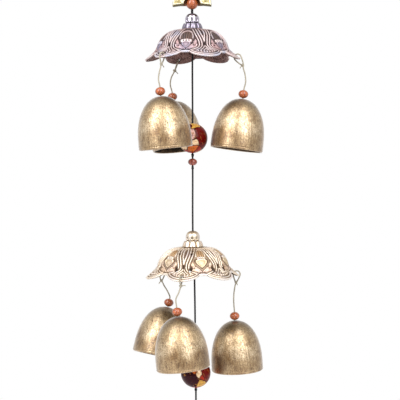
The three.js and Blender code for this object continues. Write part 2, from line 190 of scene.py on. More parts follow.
TIER_TOPS = [-73.7, -258]
TIER_TURNS = [-10, 15]
FINIAL_RADIUS = 5.95
FINIAL_HEIGHT = 8.3
COLLAR_HEIGHT = 4.9
GAP = 0.3
CAP_TOPS = [top - FINIAL_HEIGHT - COLLAR_HEIGHT - 2 * GAP for top in TIER_TOPS]
CAP_WALL = 1.4
CAP_KNOT = 2.6
CAP_KNOTS = [top - CAP_WALL - GAP - CAP_KNOT for top in CAP_TOPS]
UNDER_KNOT = CAP_KNOT + GAP
BALL_RADIUS = 12.7
BALL_HEIGHTS = [-179.4, -379.4]
BALL_KNOT = 1.5
CLAPPER_BEAD = [3.9, 3.0]  # half width and half height, as every bead's
CLAPPER_BEAD_Z = -199.6
SADDLE_TOP = -46
ORNAMENT_BEAD = 5.1
ORNAMENT_BEAD_Z = -65.6
BELL_BEAD = [4.2, 3.5]
END_BEAD_Z = -412
END_KNOT_Z = END_BEAD_Z - BELL_BEAD[1] - GAP - END_KNOT
LEAF_BAR_Z = END_KNOT_Z - 9
LEAF_LOOP = 3.1

CORD_BENDS = [  # height and distance along X of the central cord's bends, from its end upwards
    [END_KNOT_Z, 0],
    [CAP_KNOTS[1] - UNDER_KNOT, -0.2],
    [CAP_KNOTS[1] - CAP_KNOT - GAP / 2, -1.5],
    [CAP_KNOTS[0] - CAP_KNOT - GAP / 2, 0],
    [0, 0],
]

LOBES = 6
LOBE_SPACING = TURN / LOBES
LOBE_HALF_ANGLE = 24
LOBE_TIP = np.array([40.6, -25.6])
LOBE_SLOPE = np.array([0.714, -0.7])
RIM_EDGE = np.array([33.4, -21.6])
TIP_TO_BAR = 2
BAR_TO_HOLE = 3.1
CORD_HOLE = 1.6
BAR_PLACE = LOBE_TIP - TIP_TO_BAR * LOBE_SLOPE + CAP_WALL / 2 * LOBE_SLOPE[::-1] * [1, -1]
HOLE_PLACE = BAR_PLACE - BAR_TO_HOLE * LOBE_SLOPE
CAP_LINE = np.array([  # radius and height of the outside, and what a lobe adds to them
    [1.6, 0, 0, 0],
    [13, -0.5, 0, 0],
    [19.6, -2.1, 0, 0],
    [25.4, -6.5, 0, 0],
    [28.8, -11.4, 0, 0],
    [31, -17, 0, 0],
    [32, -19.6, 3.3, -1.5],
    [*RIM_EDGE, *(LOBE_TIP - RIM_EDGE)],
])

BELL_RADIUS = 22.2
BELL_DOME = 37.4
BELL_HEIGHT = 43.3
BELL_WALL = 1.6
BELL_ROUNDNESS = 2.2
BEAD_ABOVE_CROWN = 4.8
STOPPER_BELOW_CROWN = 2.7
BELL_KNOT = 1.6


def unit(vector):
    vector = np.asarray(vector, float)
    return vector / np.linalg.norm(vector)


def bell_facts(name, lobe, knot, strand, bead, mouth, tail):
    """The tier and the lobe that a bell hangs from, the way of its cord, and how it hangs."""
    axis = unit(np.subtract(mouth, bead))
    return SimpleNamespace(
        name=name, tier=int(name[0]) - 1, lobe=lobe, knot=np.array(knot), strand=np.array(strand),
        axis=axis, crown=bead + BEAD_ABOVE_CROWN * axis, tail=unit(tail),
    )


BELLS = [
    bell_facts("1a", -10, [42.2, -7, -118.6], [[44, -7, -126], [44.5, -7, -133]],
               [42.5, -7, -142.9], [36.2, -8.3, -189.5], [-0.6, -0.5, -0.6]),
    bell_facts("1b", 110, [-16, 36.8, -119.3], [[-19.2, 37.4, -125.8], [-20, 38.4, -131.5]],
               [-18.2, 39.5, -141.9], [-13.8, 34.5, -189], [0.7, 0.4, -0.6]),
    bell_facts("1c", 230, [-25.6, -30.2, -118.6], [[-27.2, -31.2, -125], [-28, -32, -132]],
               [-26.7, -32, -141.3], [-22.6, -31.5, -188.4], [0.5, 0.6, -0.6]),
    bell_facts("2a", 15, [35.4, 10.2, -303.2], [[34.1, 11, -309], [33.3, 12.4, -319]],
               [34, 13, -332.7], [36.1, 14, -381.1], [0.3, 0.7, -0.6]),
    bell_facts("2b", 135, [-29.3, 28.6, -302.8], [[-27.1, 30.2, -307.5], [-23.9, 32.4, -313.4]],
               [-23.2, 33, -322.8], [-33, 25.2, -366.2], [-0.6, 0.4, -0.7]),
    bell_facts("2c", 255, [-11.3, -38, -301.4], [[-13.2, -38.1, -307], [-15.5, -38.1, -312]],
               [-14.6, -38, -322.6], [-9.9, -38, -370.3], [1.0, -0.2, 0.15]),
]

TIERS = [  # how the crowns differ. A panel's tints are of its hood, its bud and its outer petals
    SimpleNamespace(
        bud_turn=-91, bud_face=0.72, petal_turn=-81, petal_face=0.3, petal_edge=0.6,
        flower=0.2, folds=0.36, fold_depth=0.14, crown_dimming=0.26, opening=0.6, band=31.8, hood=5.2,
        bud=[0, 35.6, 0, 3.6, 3.9],
        tints=[(0.66, 0.58, 0.48), (0.62, 0.62, 0.74), (0.98, 0.86, 0.88)],
    ),
    SimpleNamespace(
        bud_turn=-96, bud_face=0.66, petal_turn=-90, petal_face=0.52, petal_edge=0.8,
        flower=0.38, folds=0.46, fold_depth=0.26, crown_dimming=0.1, opening=1.0, band=27.2, hood=3.6,
        bud=[0, 31.8, 0, 4.6, 4.9],
        tints=[(0.86, 0.70, 0.50), (0.96, 0.90, 0.74), (1.0, 0.90, 0.85)],
    ),
]


def add_object(name, data):
    made = bpy.data.objects.new(name, data)
    bpy.context.scene.collection.objects.link(made)
    return made


def rotation(degrees, axis="Z"):
    return Matrix.Rotation(math.radians(degrees), 4, axis)


# ---- Camera ----
EYE = [5.1, -1050, -202.25]  # level with the upper bells
LENS = 111.2
LOOK_DOWN = 1.62  # degrees
ROLL = -0.57


def make_camera():
    data = bpy.data.cameras.new("camera")
    data.lens = LENS
    data.sensor_width = 36
    data.clip_start = 0.05
    data.clip_end = 20
    camera = add_object("camera", data)
    turned = rotation(90 - LOOK_DOWN, "X") @ rotation(ROLL)
    camera.matrix_world = Matrix.Translation(Vector(EYE) * MM) @ turned
    bpy.context.scene.camera = camera


# ---- Materials ----
def linear(red, green, blue):
    """A colour as the shader takes it."""
    share = [value / 255 for value in (red, green, blue)]
    return tuple(s / 12.92 if s <= 0.04045 else ((s + 0.055) / 1.055) ** 2.4 for s in share) + (1.0,)


class Nodes:
    """A material's or the world's nodes, with short calls for those that repeat."""

    def __init__(self, name, world=False):
        self.owner = (bpy.data.worlds if world else bpy.data.materials).new(name)
        self.owner.use_nodes = True
        self.tree = self.owner.node_tree
        self.shader = self.tree.nodes["Background" if world else "Principled BSDF"]
        self.place = None if world else self.attribute("local", "Vector")

    def add(self, kind, inputs=None, **settings):
        made = self.tree.nodes.new(kind)
        for key, value in settings.items():
            setattr(made, key, value)
        for key, value in (inputs or {}).items():
            self.put(made.inputs[key], value)
        return made

    def put(self, socket, value):
        if isinstance(value, bpy.types.NodeSocket):
            self.tree.links.new(value, socket)
        else:
            socket.default_value = value

    def finish(self, **inputs):
        """Sets the shader's sockets and gives back the material or the world."""
        for key, value in inputs.items():
            self.put(self.shader.inputs[key.replace("_", " ").title().replace("Ior", "IOR")], value)
        return self.owner

    def attribute(self, name, output="Fac"):
        return self.add("ShaderNodeAttribute", attribute_name=name).outputs[output]

    def stretched(self, scale):
        return self.add("ShaderNodeMapping", {"Vector": self.place, "Scale": scale}).outputs[0]

    def noise(self, per_metre, detail, roughness, place=None, distortion=0.0):
        return self.add("ShaderNodeTexNoise", {
            "Vector": place or self.place, "Scale": per_metre, "Detail": detail,
            "Roughness": roughness, "Distortion": distortion,
        }).outputs["Fac"]

    def maths(self, operation, first, second):
        return self.add("ShaderNodeMath", {0: first, 1: second}, operation=operation).outputs[0]

    def blend(self, first, share, second):
        """The first number's share and the second's rest."""
        return self.maths("ADD", self.maths("MULTIPLY", first, share),
                          self.maths("MULTIPLY", second, 1 - share))

    def ragged(self, value, noise, reach):
        """A number that a noise moves up and down."""
        around_zero = self.maths("SUBTRACT", noise, 0.5)
        return self.maths("ADD", value, self.maths("MULTIPLY", around_zero, reach))

    def share_of(self, value, low, high=0.0):
        return self.add("ShaderNodeMapRange", {
            "Value": value, "From Min": low, "From Max": high,
        }).outputs[0]

    def ramp(self, factor, *stops):
        """A colour or a number from another number. Stops are (input, output)."""
        made = self.add("ShaderNodeValToRGB", {"Fac": factor})
        elements = made.color_ramp.elements
        for _ in stops[2:]:
            elements.new(0.5)
        for element, (position, value) in zip(elements, stops):
            element.position = position
            element.color = linear(*value) if isinstance(value, tuple) else (value, value, value, 1)
        return made.outputs["Color"]

    def mix(self, factor, first, second, way="MIX"):
        return self.add("ShaderNodeMix", {0: factor, 6: first, 7: second},
                        data_type="RGBA", blend_type=way).outputs[2]

    def product(self, first, *others):
        for other in others:
            first = self.mix(1.0, first, other, "MULTIPLY")
        return first

    def bump(self, height, strength, distance, under=None):
        inputs = {"Height": height, "Strength": strength, "Distance": distance}
        if under is not None:
            inputs["Normal"] = under
        return self.add("ShaderNodeBump", inputs).outputs[0]


def bell_brass():
    n = Nodes("bell_brass")
    streaks = n.noise(800, 4, 0.65, n.stretched((1, 1, 0.22)))
    specks = n.noise(1150, 3, 0.7)
    clouds = n.noise(75, 3, 0.6)
    wear = n.blend(streaks, 0.42, specks)
    metal = n.ramp(wear, (0.38, (104, 82, 58)), (0.46, (186, 160, 126)), (0.54, (226, 204, 172)),
                   (0.64, (255, 244, 222)))
    tint = n.ramp(clouds, (0.3, (196, 176, 140)), (0.55, (255, 252, 244)))
    height = n.add("ShaderNodeSeparateXYZ", {"Vector": n.place}).outputs["Z"]
    # Painted shade: the brass is darker towards the crown and towards the mouth.
    shade_by_height = n.ramp(n.share_of(n.ragged(height, clouds, 0.02), -0.0445),
                  (0.0, (199, 184, 161)), (0.28, (224, 214, 197)), (0.45, (255, 255, 255)),
                  (0.7, (240, 234, 220)), (0.95, (172, 162, 138)))
    return n.finish(
        base_color=n.product(metal, tint, shade_by_height),
        metallic=n.ramp(wear, (0.38, 0.7), (0.52, 1.0)),
        roughness=n.ramp(specks, (0.35, 0.58), (0.65, 0.36)),
        coat_weight=0.6, coat_roughness=0.35, coat_ior=1.9, sheen_weight=1.0, sheen_roughness=0.3,
        normal=n.bump(wear, 0.4, 0.0003, n.bump(clouds, 0.35, 0.0012)),
    )


def bell_inside():
    n = Nodes("bell_inside")
    # Painted shade: the inside of the bell is a mottled, very dark brown.
    inside_mottle = n.noise(240, 4, 0.6)
    return n.finish(
        base_color=n.ramp(inside_mottle, (0.35, (30, 22, 16)), (0.7, (86, 64, 40))), metallic=0.7,
        roughness=n.ramp(inside_mottle, (0.3, 0.65), (0.7, 0.5)), normal=n.bump(inside_mottle, 0.4, 0.0004),
    )


def relief_metal(name, deep, middle, high, tints, gloss, patina_metal, shine=1.0, panels=False):
    """A cast metal with patina in its hollows and polished high lines, whose highest lines are lightened towards
    white as a painted highlight. The mesh's relief attribute runs from 0 in a hollow to 1 on a ridge, and tints vary
    the metal in soft clouds."""
    n = Nodes(name)
    grit = n.noise(1500, 3, 0.6)
    wear = n.ragged(n.attribute("relief"), grit, 0.22)
    # Painted highlight: the colour of the highest lines is lightened towards white.
    ridge_highlight = tuple(value + (255 - value) * 0.6 for value in high)
    colour = n.ramp(wear, (0.12, deep), (0.38, middle), (0.66, high), (0.92, ridge_highlight))
    clouds = n.ramp(n.noise(110, 2, 0.5), *zip((0.36, 0.5, 0.64), tints))
    painted = [n.attribute("tint", "Color")] if panels else []
    return n.finish(
        base_color=n.product(colour, *painted, clouds),
        metallic=n.ramp(wear, (0.15, patina_metal), (0.45, shine)),
        roughness=n.ramp(wear, (0.1, gloss[0]), (0.7, gloss[1])),
        normal=n.bump(grit, 0.1, 0.00008),
    )


def shaded_underside(name, dark, light):
    # Painted shade: the underside is a darker copy of the cap's metal.
    n = Nodes(name)
    stain = n.noise(260, 4, 0.6)
    return n.finish(
        base_color=n.ramp(stain, (0.35, dark), (0.65, light)), metallic=0.6,
        roughness=n.ramp(stain, (0.3, 0.6), (0.7, 0.42)),
        normal=n.bump(n.noise(1100, 3, 0.6), 0.4, 0.0002),
    )


def wood(name, dark, middle, light, coat=0.6, grain=(1, 1, 0.22), fine=1.0):
    n = Nodes(name)
    rings = n.add("ShaderNodeTexWave", {
        "Vector": n.stretched(grain), "Scale": 260.0 * fine, "Distortion": 5.0,
        "Detail": 3.0, "Detail Scale": 1.6,
    }, bands_direction="X").outputs["Fac"]
    pores = n.noise(1600 * fine, 4, 0.65, n.stretched(grain))
    tone = n.blend(rings, 0.55, pores)
    return n.finish(
        base_color=n.ramp(tone, (0.25, dark), (0.5, middle), (0.8, light)),
        roughness=n.ramp(pores, (0.3, 0.42), (0.7, 0.28)),
        coat_weight=coat, coat_roughness=0.12, normal=n.bump(pores, 0.2, 0.00015),
    )


def lacquer():
    """Patches of coloured lacquer, from the mesh's patch colours, under a clear coat."""
    n = Nodes("ball_lacquer")
    flecks = n.noise(700, 4, 0.7)
    veins = n.noise(240, 5, 0.6, distortion=1.2)
    shade = n.ramp(flecks, (0.34, (150, 130, 120)), (0.5, (255, 255, 255)))
    worn = n.product(n.attribute("patch", "Color"), shade)
    return n.finish(
        base_color=n.mix(n.ramp(veins, (0.6, 0.0), (0.66, 0.35)), worn, linear(214, 150, 70)),
        roughness=n.ramp(flecks, (0.3, 0.34), (0.7, 0.2)),
        coat_weight=0.15, coat_roughness=0.08, specular_ior_level=0.06,
        normal=n.bump(n.attribute("seam"), 0.25, 0.0004),
    )


def cord_fibre(name, dark, light, fuzz):
    n = Nodes(name)
    fibres = n.noise(2600, 3, 0.7)
    # Painted shade: the colour is darker in the grooves between the strands, where relief is low.
    tone = n.blend(n.attribute("relief"), 0.6, fibres)
    return n.finish(
        base_color=n.ramp(tone, (0.3, dark), (0.65, light)),
        roughness=n.ramp(fibres, (0.3, 0.75), (0.7, 0.95)),
        sheen_weight=fuzz, sheen_roughness=0.5, normal=n.bump(fibres, 0.5, 0.0001),
    )


def plain_brass():
    n = Nodes("plain_brass")
    scratch = n.noise(900, 4, 0.7, n.stretched((1, 1, 0.3)))
    tone = n.blend(n.attribute("relief"), 0.7, scratch)
    return n.finish(
        base_color=n.ramp(tone, (0.2, (92, 68, 34)), (0.5, (186, 152, 92)), (0.85, (228, 200, 142))),
        metallic=1.0, roughness=n.ramp(scratch, (0.3, 0.42), (0.7, 0.26)),
        normal=n.bump(scratch, 0.2, 0.00012),
    )


def make_looks():
    """Each look's finish and then its materials."""
    mauve = [(246, 228, 226), (248, 240, 238), (226, 230, 246)]
    gold = [(250, 238, 222), (255, 250, 241), (250, 243, 244)]
    silver = [(246, 240, 255), (255, 255, 255), (250, 246, 255)]
    gilt = [(255, 250, 232), (255, 255, 244), (250, 252, 232)]
    metals = [
        relief_metal("mauve_copper", (58, 44, 44), (108, 92, 92), (176, 160, 160), mauve,
                     (0.72, 0.55), 0.35, 0.45, True),
        relief_metal("champagne_metal", (106, 86, 70), (164, 146, 128), (220, 207, 193), gold,
                     (0.65, 0.5), 0.5, 0.7, True),
        relief_metal("silver_metal", (20, 17, 22), (138, 131, 143), (206, 200, 210), silver,
                     (0.4, 0.18), 0.3),
        relief_metal("pale_gold", (50, 34, 24), (200, 178, 150), (248, 240, 226), gold,
                     (0.5, 0.34), 0.3),
        relief_metal("gilt_brass", (108, 94, 50), (196, 180, 136), (236, 226, 192), gilt,
                     (0.55, 0.4), 0.8),
    ]
    undersides = [shaded_underside("mauve_underside", (108, 80, 78), (146, 112, 106)),
                  shaded_underside("champagne_underside", (56, 42, 32), (96, 74, 56))]
    bead = wood("bead_wood", (128, 56, 28), (168, 82, 42), (196, 108, 60), 0.8)
    red_bead = wood("red_wood", (100, 38, 30), (146, 64, 50), (182, 96, 74))
    # Painted light: the panel's wood is lightened because it sits in the shadow behind the saddle.
    panel = wood("panel_wood", (120, 70, 42), (170, 106, 66), (206, 140, 96), 0.25, (1, 1, 0.12), 0.5)
    return {
        "bell": ["bell_brass", bell_brass(), bell_inside()],
        "cap_1": ["mauve_copper", metals[0], undersides[0]],
        "cap_2": ["champagne_metal", metals[1], undersides[1]],
        "crown_1": ["silver_metal", metals[2]],
        "crown_2": ["champagne_metal", metals[3]],
        "gilt": ["gilt_brass", metals[4]],
        "wood": ["bead_wood", bead],
        "red_wood": ["dark_bead_wood", red_bead],
        "panel": ["panel_wood", panel],
        "ball": ["ball_lacquer", lacquer()],
        "black": ["black_cord", cord_fibre("black_cord", (4, 4, 4), (26, 25, 26), 0.05)],
        "cream": ["cream_cord", cord_fibre("cream_cord", (98, 90, 76), (180, 171, 152), 0.1)],
        "brass": ["bell_brass", plain_brass()],
        "floor": ["", floor_paper()],
    }


# ---- Making pieces ----
def make_mesh(name, look, points, faces, picks=None, **attributes):
    """A smooth mesh object from points in millimetres. picks says which of the look's materials each
    face has, and an attribute is one number, or one colour, a point. The patterns use each point's
    place here, kept as "local", so they stay the same wherever place() puts the piece."""
    mesh = bpy.data.meshes.new(name)
    metres = np.asarray(points, float) * MM
    mesh.from_pydata(metres.tolist(), [], [list(face) for face in faces])
    mesh.attributes.new("local", "FLOAT_VECTOR", "POINT").data.foreach_set("vector", metres.ravel())
    for material in LOOKS[look][1:]:
        mesh.materials.append(material)
    if picks is not None:
        mesh.polygons.foreach_set("material_index", np.asarray(picks, np.int32))
    for key, values in attributes.items():
        values = np.asarray(values, np.float32)
        kind, field = ("FLOAT", "value") if values.ndim == 1 else ("FLOAT_COLOR", "color")
        mesh.attributes.new(key, kind, "POINT").data.foreach_set(field, values.ravel())
    mesh.polygons.foreach_set("use_smooth", np.ones(len(mesh.polygons), bool))
    mesh.update()
    return add_object(name, mesh)


def place(piece, matrix):
    piece.data.transform(matrix)
    piece.data.update()


def give(piece, body, look, *nodes):
    """The piece rides on that body, takes that look's finish and stands for those CAD nodes."""
    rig.ride(piece, body)
    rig.slot(piece, LOOKS[look][0])
    if nodes:
        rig.replaces(piece, *nodes)
    return piece


def make_piece(name, body, look, node, points, faces, at=Matrix(), **details):
    piece = make_mesh(name, look, points, faces, **details)
    place(piece, at)
    return give(piece, body, look, node)


def round_angles(count):
    return np.arange(count) * TURN / count


def around_z(radius, angle, height):
    """A list of points. The three may be single numbers or grids of one shape."""
    parts = np.broadcast_arrays(radius * np.cos(angle), radius * np.sin(angle), height)
    return np.stack(parts, axis=-1).reshape(-1, 3)


def ring_faces(around, rows, closed_rows=True):
    """Faces of a grid whose point number is angle * rows + row."""
    i, j = np.indices((around, rows if closed_rows else rows - 1)).reshape(2, -1)
    i2, j2 = (i + 1) % around, (j + 1) % rows
    return np.stack([i * rows + j, i * rows + j2, i2 * rows + j2, i2 * rows + j], axis=1)


def turned(section, around):
    """Points and faces of a section of [radius, height] turned about Z."""
    radius, height = np.transpose(section)
    points = around_z(radius, round_angles(around)[:, None], height)
    return points, ring_faces(around, len(section))


def cord_x(height):
    """The central cord's distance along X at a height."""
    return np.interp(height, *np.transpose(CORD_BENDS))


def crown_x(tier):
    return cord_x((TIER_TOPS[tier] + CAP_TOPS[tier]) / 2)


def at_height(height, turn=0.0, x=None):
    """On the central cord, or at a given distance along X."""
    x = cord_x(height) if x is None else x
    return Matrix.Translation((x * MM, 0, height * MM)) @ rotation(turn)


def smooth_step(value, low, high):
    share = np.clip((value - low) / (high - low), 0, 1)
    return share * share * (3 - 2 * share)


def wave(distance, pitch):
    return 0.5 + 0.5 * np.cos(TURN * distance / pitch)


# ---- Lines ----
def distances(line):
    """How far along a line, or along each of several lines, its points are."""
    steps = np.linalg.norm(np.diff(line, axis=-2), axis=-1)
    return np.concatenate([np.zeros_like(steps[..., :1]), np.cumsum(steps, axis=-1)], axis=-1)


def cubic(t, width, start, leave, end, arrive):
    """The place at a share t of the way between two points, where leave and arrive are slopes."""
    first = (2 * t**3 - 3 * t**2 + 1) * start + (t**3 - 2 * t**2 + t) * width * leave
    return first + (3 * t**2 - 2 * t**3) * end + (t**3 - t**2) * width * arrive


def through(points, step):
    """A smooth line through the points, with a point about every step."""
    knots = np.asarray(points, float)
    spans = distances(knots)
    slopes = np.gradient(knots, spans, axis=0)
    at = np.linspace(0, spans[-1], max(8, int(spans[-1] / step)))
    i = np.clip(np.searchsorted(spans, at, side="right") - 1, 0, len(knots) - 2)
    width = (spans[i + 1] - spans[i])[:, None]
    t = (at - spans[i])[:, None] / width
    return cubic(t, width, knots[i], slopes[i], knots[i + 1], slopes[i + 1])


def nearest_edge(points, edges):
    """Each point's distance from the nearest of the edges, which are pairs of ends."""
    best = np.full(len(points), np.inf)
    for start, end in edges:
        way = end - start
        t = np.clip((points - start) @ way / max(way @ way, 1e-12), 0, 1)
        best = np.minimum(best, np.linalg.norm(points - start - t[:, None] * way, axis=1))
    return best


# ---- Cords ----
STRANDS = 3
GROOVE = 0.16  # depth between two strands, as a share of the cord's radius
MAIN_PITCH = 4.0
BELL_PITCH = 3.2
LOOP_STEP = 0.35
LOOP_LENGTH = 30  # of the loops at the top and the end
THIN_CORD = 0.42  # radius of a cut tail and of the wrapping
TIGHT = {"big": (CAP_KNOT, 0.8), "end": (END_KNOT, 0.76), "small": (BALL_KNOT, 0.55),
         "bell": (BELL_KNOT, 0.58)}  # size of a knot, and radius of the cord pulled tight in it
WRAP_RADIUS = 0.72
WRAPS = 4


def carried_frames(line, closed):
    """Two directions across a line at each of its points, with no twist between neighbours."""
    ahead = np.roll(line, -1, axis=0) - np.roll(line, 1, axis=0)
    if not closed:
        ahead[0], ahead[-1] = line[1] - line[0], line[-1] - line[-2]
    ahead /= np.linalg.norm(ahead, axis=1)[:, None]
    side = np.cross(ahead[0], [0.31, 0.17, 0.93])
    sides = []
    for way in ahead:
        side = unit(side - way * (side @ way))
        sides.append(side)
    return np.array(sides), np.cross(ahead, sides)


def make_cord(name, body, look, nodes, line, radius, pitch, sides=15, closed=False):
    """A twisted cord along a line. Its section has a lobe for each strand and turns once a pitch."""
    first, second = (way[:, None, :] for way in carried_frames(line, closed))
    angle = round_angles(sides)
    lobe = np.abs(np.cos(STRANDS / 2 * (angle - TURN * distances(line)[:, None] / pitch)))
    reach = radius * (1 - GROOVE * (1 - lobe))
    across = np.cos(angle)[:, None] * first + np.sin(angle)[:, None] * second
    points = (line[:, None, :] + reach[:, :, None] * across).reshape(-1, 3)
    faces = ring_faces(len(line), sides)
    if not closed:
        faces = [*faces[:-sides], range(sides)[::-1], range(len(points) - sides, len(points))]
    return give(make_mesh(name, look, points, faces, relief=lobe.ravel()), body, look, *nodes)


def knot(name, centre, kind, look, body, tilt):
    """A tight knot, with its tilt in radians."""
    size, radius = TIGHT[kind]
    t = round_angles(90)
    scale = (size - radius * 0.95) / 3
    line = scale * np.stack([
        np.sin(t) + 2 * np.sin(2 * t), 1.6 * np.sin(3 * t), np.cos(t) - 2 * np.cos(2 * t),
    ], axis=1)
    line = line @ np.array(Matrix.Rotation(tilt, 3, "Z")).T + centre
    return make_cord(name, body, look, [], line, radius, TURN * 2.4 * scale, 12, True)


def declare(piece, line, exit_point, diameter, knots, lay, length=None):
    measured = float(distances(line)[-1])
    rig.cord(
        piece, exit=[value * MM for value in exit_point], length=(length or measured) * MM,
        diameter=diameter * MM, far_end="knot", stiffness="limp", lay=lay,
        path=(line * MM).tolist(), with_pieces=knots,
    )


def loop_line(bar, knot_at, over, bend, cord_radius):
    """The way of a loop from its knot, through the hole on the side of "over", round the bar at a
    constant distance and back to the knot."""
    bar, knot_at, over = (np.asarray(p, float) for p in (bar, knot_at, over))
    down = unit(knot_at - bar)
    side = unit(over - bar - down * ((over - bar) @ down))
    leave = math.acos(bend / np.linalg.norm(knot_at - bar))
    turns = np.linspace(leave, TURN - leave, 9)
    arc = [bar + bend * (down * math.cos(angle) + side * math.sin(angle)) for angle in turns]
    return [knot_at + side * cord_radius, *arc, knot_at - side * cord_radius]


def on_cap(spot, bell):
    middle = [crown_x(bell.tier), 0, CAP_TOPS[bell.tier]]
    return middle + around_z(spot[0], math.radians(bell.lobe), spot[1])[0]


def make_bell_cord(bell):
    """The loop through the lobe and the strand below its knot are one length of cord."""
    name, body = bell.name, f"bell_line_{bell.name}"
    bar, hole = on_cap(BAR_PLACE, bell), on_cap(HOLE_PLACE, bell)
    bead_top = -(BEAD_ABOVE_CROWN + BELL_BEAD[1])
    down = (bead_top - 1, bead_top + 2, bead_top + 4, STOPPER_BELOW_CROWN)
    route = loop_line(bar, bell.knot, hole, BAR_TO_HOLE, BELL_CORD)
    route.append(bell.knot + unit(bell.strand[0] - bell.knot) * 1.9)
    route += [*bell.strand, *(bell.crown + bell.axis * distance for distance in down)]
    line = through(route, LOOP_STEP)
    made = make_cord(f"cord_{name}", body, "cream", [f"bell_loop_{name}", f"bell_cord_{name}"],
                     line, BELL_CORD, BELL_PITCH)
    tilt = math.radians(bell.lobe + 60)
    ends = {"loop": bell.knot, "stopper": route[-1]}
    ties = [knot(f"{end}_knot_{name}", at, "bell", "cream", body, tilt) for end, at in ends.items()]
    declare(made, line, bar, 2 * BELL_CORD, [*ties, make_tail(bell, body)], "hanging")


def make_tail(bell, body):
    """The cord's cut end beyond its knot."""
    bends = [(0.8, 0), (2.5, 0.1), (4.0, -0.25)]  # distance from the knot, and rise
    line = through([bell.knot + bell.tail * away + [0, 0, rise] for away, rise in bends], 0.25)
    return make_cord(f"tail_{bell.name}", body, "cream", [], line, THIN_CORD, BELL_PITCH, 9)


def make_loop(end, body, bar_z, knot_z, bend, tilt):
    """The loop at the top or the end of the central cord, round its bar and closed by its knot."""
    bar, knot_at = [0, 0, bar_z], [0, 0, knot_z]
    line = through(loop_line(bar, knot_at, [0, 1, bar_z], bend, MAIN_CORD), LOOP_STEP)
    loop = make_cord(f"{end}_cord_loop", body, "black", [f"{end}_loop"], line, MAIN_CORD, MAIN_PITCH)
    tie = knot(f"{end}_knot", knot_at, "end", "black", body, tilt)
    declare(loop, line, bar, 2 * MAIN_CORD, [tie], "hanging", length=LOOP_LENGTH)


def make_stretch(name, top, bottom, knots, *others):
    """A hanging length with a very slight waver, and its knots as {height: kind}."""
    z = np.linspace(top, bottom, max(8, int((top - bottom) / 0.45)))
    waver = 0.05 * np.sin(z / 9.0)
    line = np.stack([cord_x(z) + waver, 0.6 * waver, z], axis=1)
    body = f"{name}_line"
    made = make_cord(f"cord_{name}", body, "black", [f"{name}_cord"], line, MAIN_CORD, MAIN_PITCH)
    ties = [knot(f"cord_{name}_knot_{i + 1}", [cord_x(z), 0, z], kind, "black", body, 0.4 + i)
            for i, (z, kind) in enumerate(knots.items())]
    declare(made, line, line[0], 2 * MAIN_CORD, [*ties, *others], "taut")


def make_wrap():
    """Between the ornament's bead and the finial the cord is wrapped, so it is thicker there."""
    top, bottom = ORNAMENT_BEAD_Z - ORNAMENT_BEAD - GAP, TIER_TOPS[0] + GAP
    t = np.linspace(0, 1, 80)
    line = around_z(WRAP_RADIUS, TURN * WRAPS * t, top + (bottom - top) * t)
    return make_cord("cord_wrap", "upper_line", "black", [], line, THIN_CORD, 2.0, 9)


def make_cords():
    for bell in BELLS:
        make_bell_cord(bell)
    make_loop("top", "loop", RING_FOOT, TOP_KNOT_Z, RING_LOOP, 0.5)
    make_loop("end", "lower_line", LEAF_BAR_Z, END_KNOT_Z, LEAF_LOOP, 0.9)
    under_balls = [height - BALL_RADIUS - GAP - BALL_KNOT for height in BALL_HEIGHTS]
    under_bead = CLAPPER_BEAD_Z - CLAPPER_BEAD[1] - GAP - BALL_KNOT
    cap_1, cap_2 = CAP_KNOTS
    make_stretch("upper", TOP_KNOT_Z - END_KNOT - GAP, cap_1, {cap_1: "big"}, make_wrap())
    make_stretch("middle", cap_1 - UNDER_KNOT, cap_2,
                 {under_balls[0]: "small", under_bead: "small", cap_2: "big"})
    make_stretch("lower", cap_2 - UNDER_KNOT, END_KNOT_Z + END_KNOT + GAP, {under_balls[1]: "small"})


# ---- Beads and balls ----
BEADS = [  # name, node, body, look, sizes, height and turn of those on the central cord
    ("bead_top", "top_bead", "upper_line", "wood", BELL_BEAD, SADDLE_TOP + GAP + BELL_BEAD[1], 40),
    ("bead_ornament", "ornament_bead", "upper_line", "wood", [ORNAMENT_BEAD] * 2, ORNAMENT_BEAD_Z, 10),
    ("bead_clapper", "clapper_bead_1", "middle_line", "red_wood", CLAPPER_BEAD, CLAPPER_BEAD_Z, 0),
    ("bead_end", "end_bead", "lower_line", "wood", BELL_BEAD, END_BEAD_Z, 120),
]
MAROON = linear(98, 12, 8)
PURPLE = linear(52, 3, 14)
RED = linear(156, 40, 18)
ORANGE = linear(206, 104, 44)
CREAM = linear(238, 206, 166)
GOLD = linear(206, 156, 72)
PINK = linear(226, 180, 168)
SEAM = np.array(linear(60, 20, 12))
BALL_PATCHES = [  # the direction of a patch's middle, its colour and its extra size
    [(0.22, -0.46, 0.86, GOLD, 0.05), (0.80, -0.60, 0.06, MAROON, 0.5),
     (0.12, -0.97, 0.26, PINK, 0), (-0.40, -0.86, 0.22, CREAM, 0),
     (0.22, -0.97, -0.04, PURPLE, -0.1), (0.16, -0.93, -0.34, CREAM, 0),
     (-0.02, -0.78, -0.64, ORANGE, 0.05), (-0.60, -0.60, -0.52, CREAM, 0),
     (0.52, -0.56, -0.68, RED, 0), (-0.80, -0.56, 0.10, RED, 0), (-0.40, -0.50, 0.80, MAROON, 0)],
    [(-0.62, -0.70, -0.36, PURPLE, 0.5), (0.32, -0.70, -0.66, GOLD, 0.1),
     (0.40, -0.86, -0.26, RED, -0.05), (0.22, -0.96, 0.02, CREAM, 0),
     (0.80, -0.60, 0.06, MAROON, 0.15), (-0.16, -0.90, 0.40, ORANGE, 0),
     (-0.10, -0.60, 0.80, MAROON, 0)],
]
UNSEEN_COLOURS = [MAROON, ORANGE, CREAM, RED, PURPLE, GOLD, MAROON, PINK, RED, ORANGE, MAROON, CREAM]
MOST_PATCHES = 24
PATCH_SPACING = 0.62


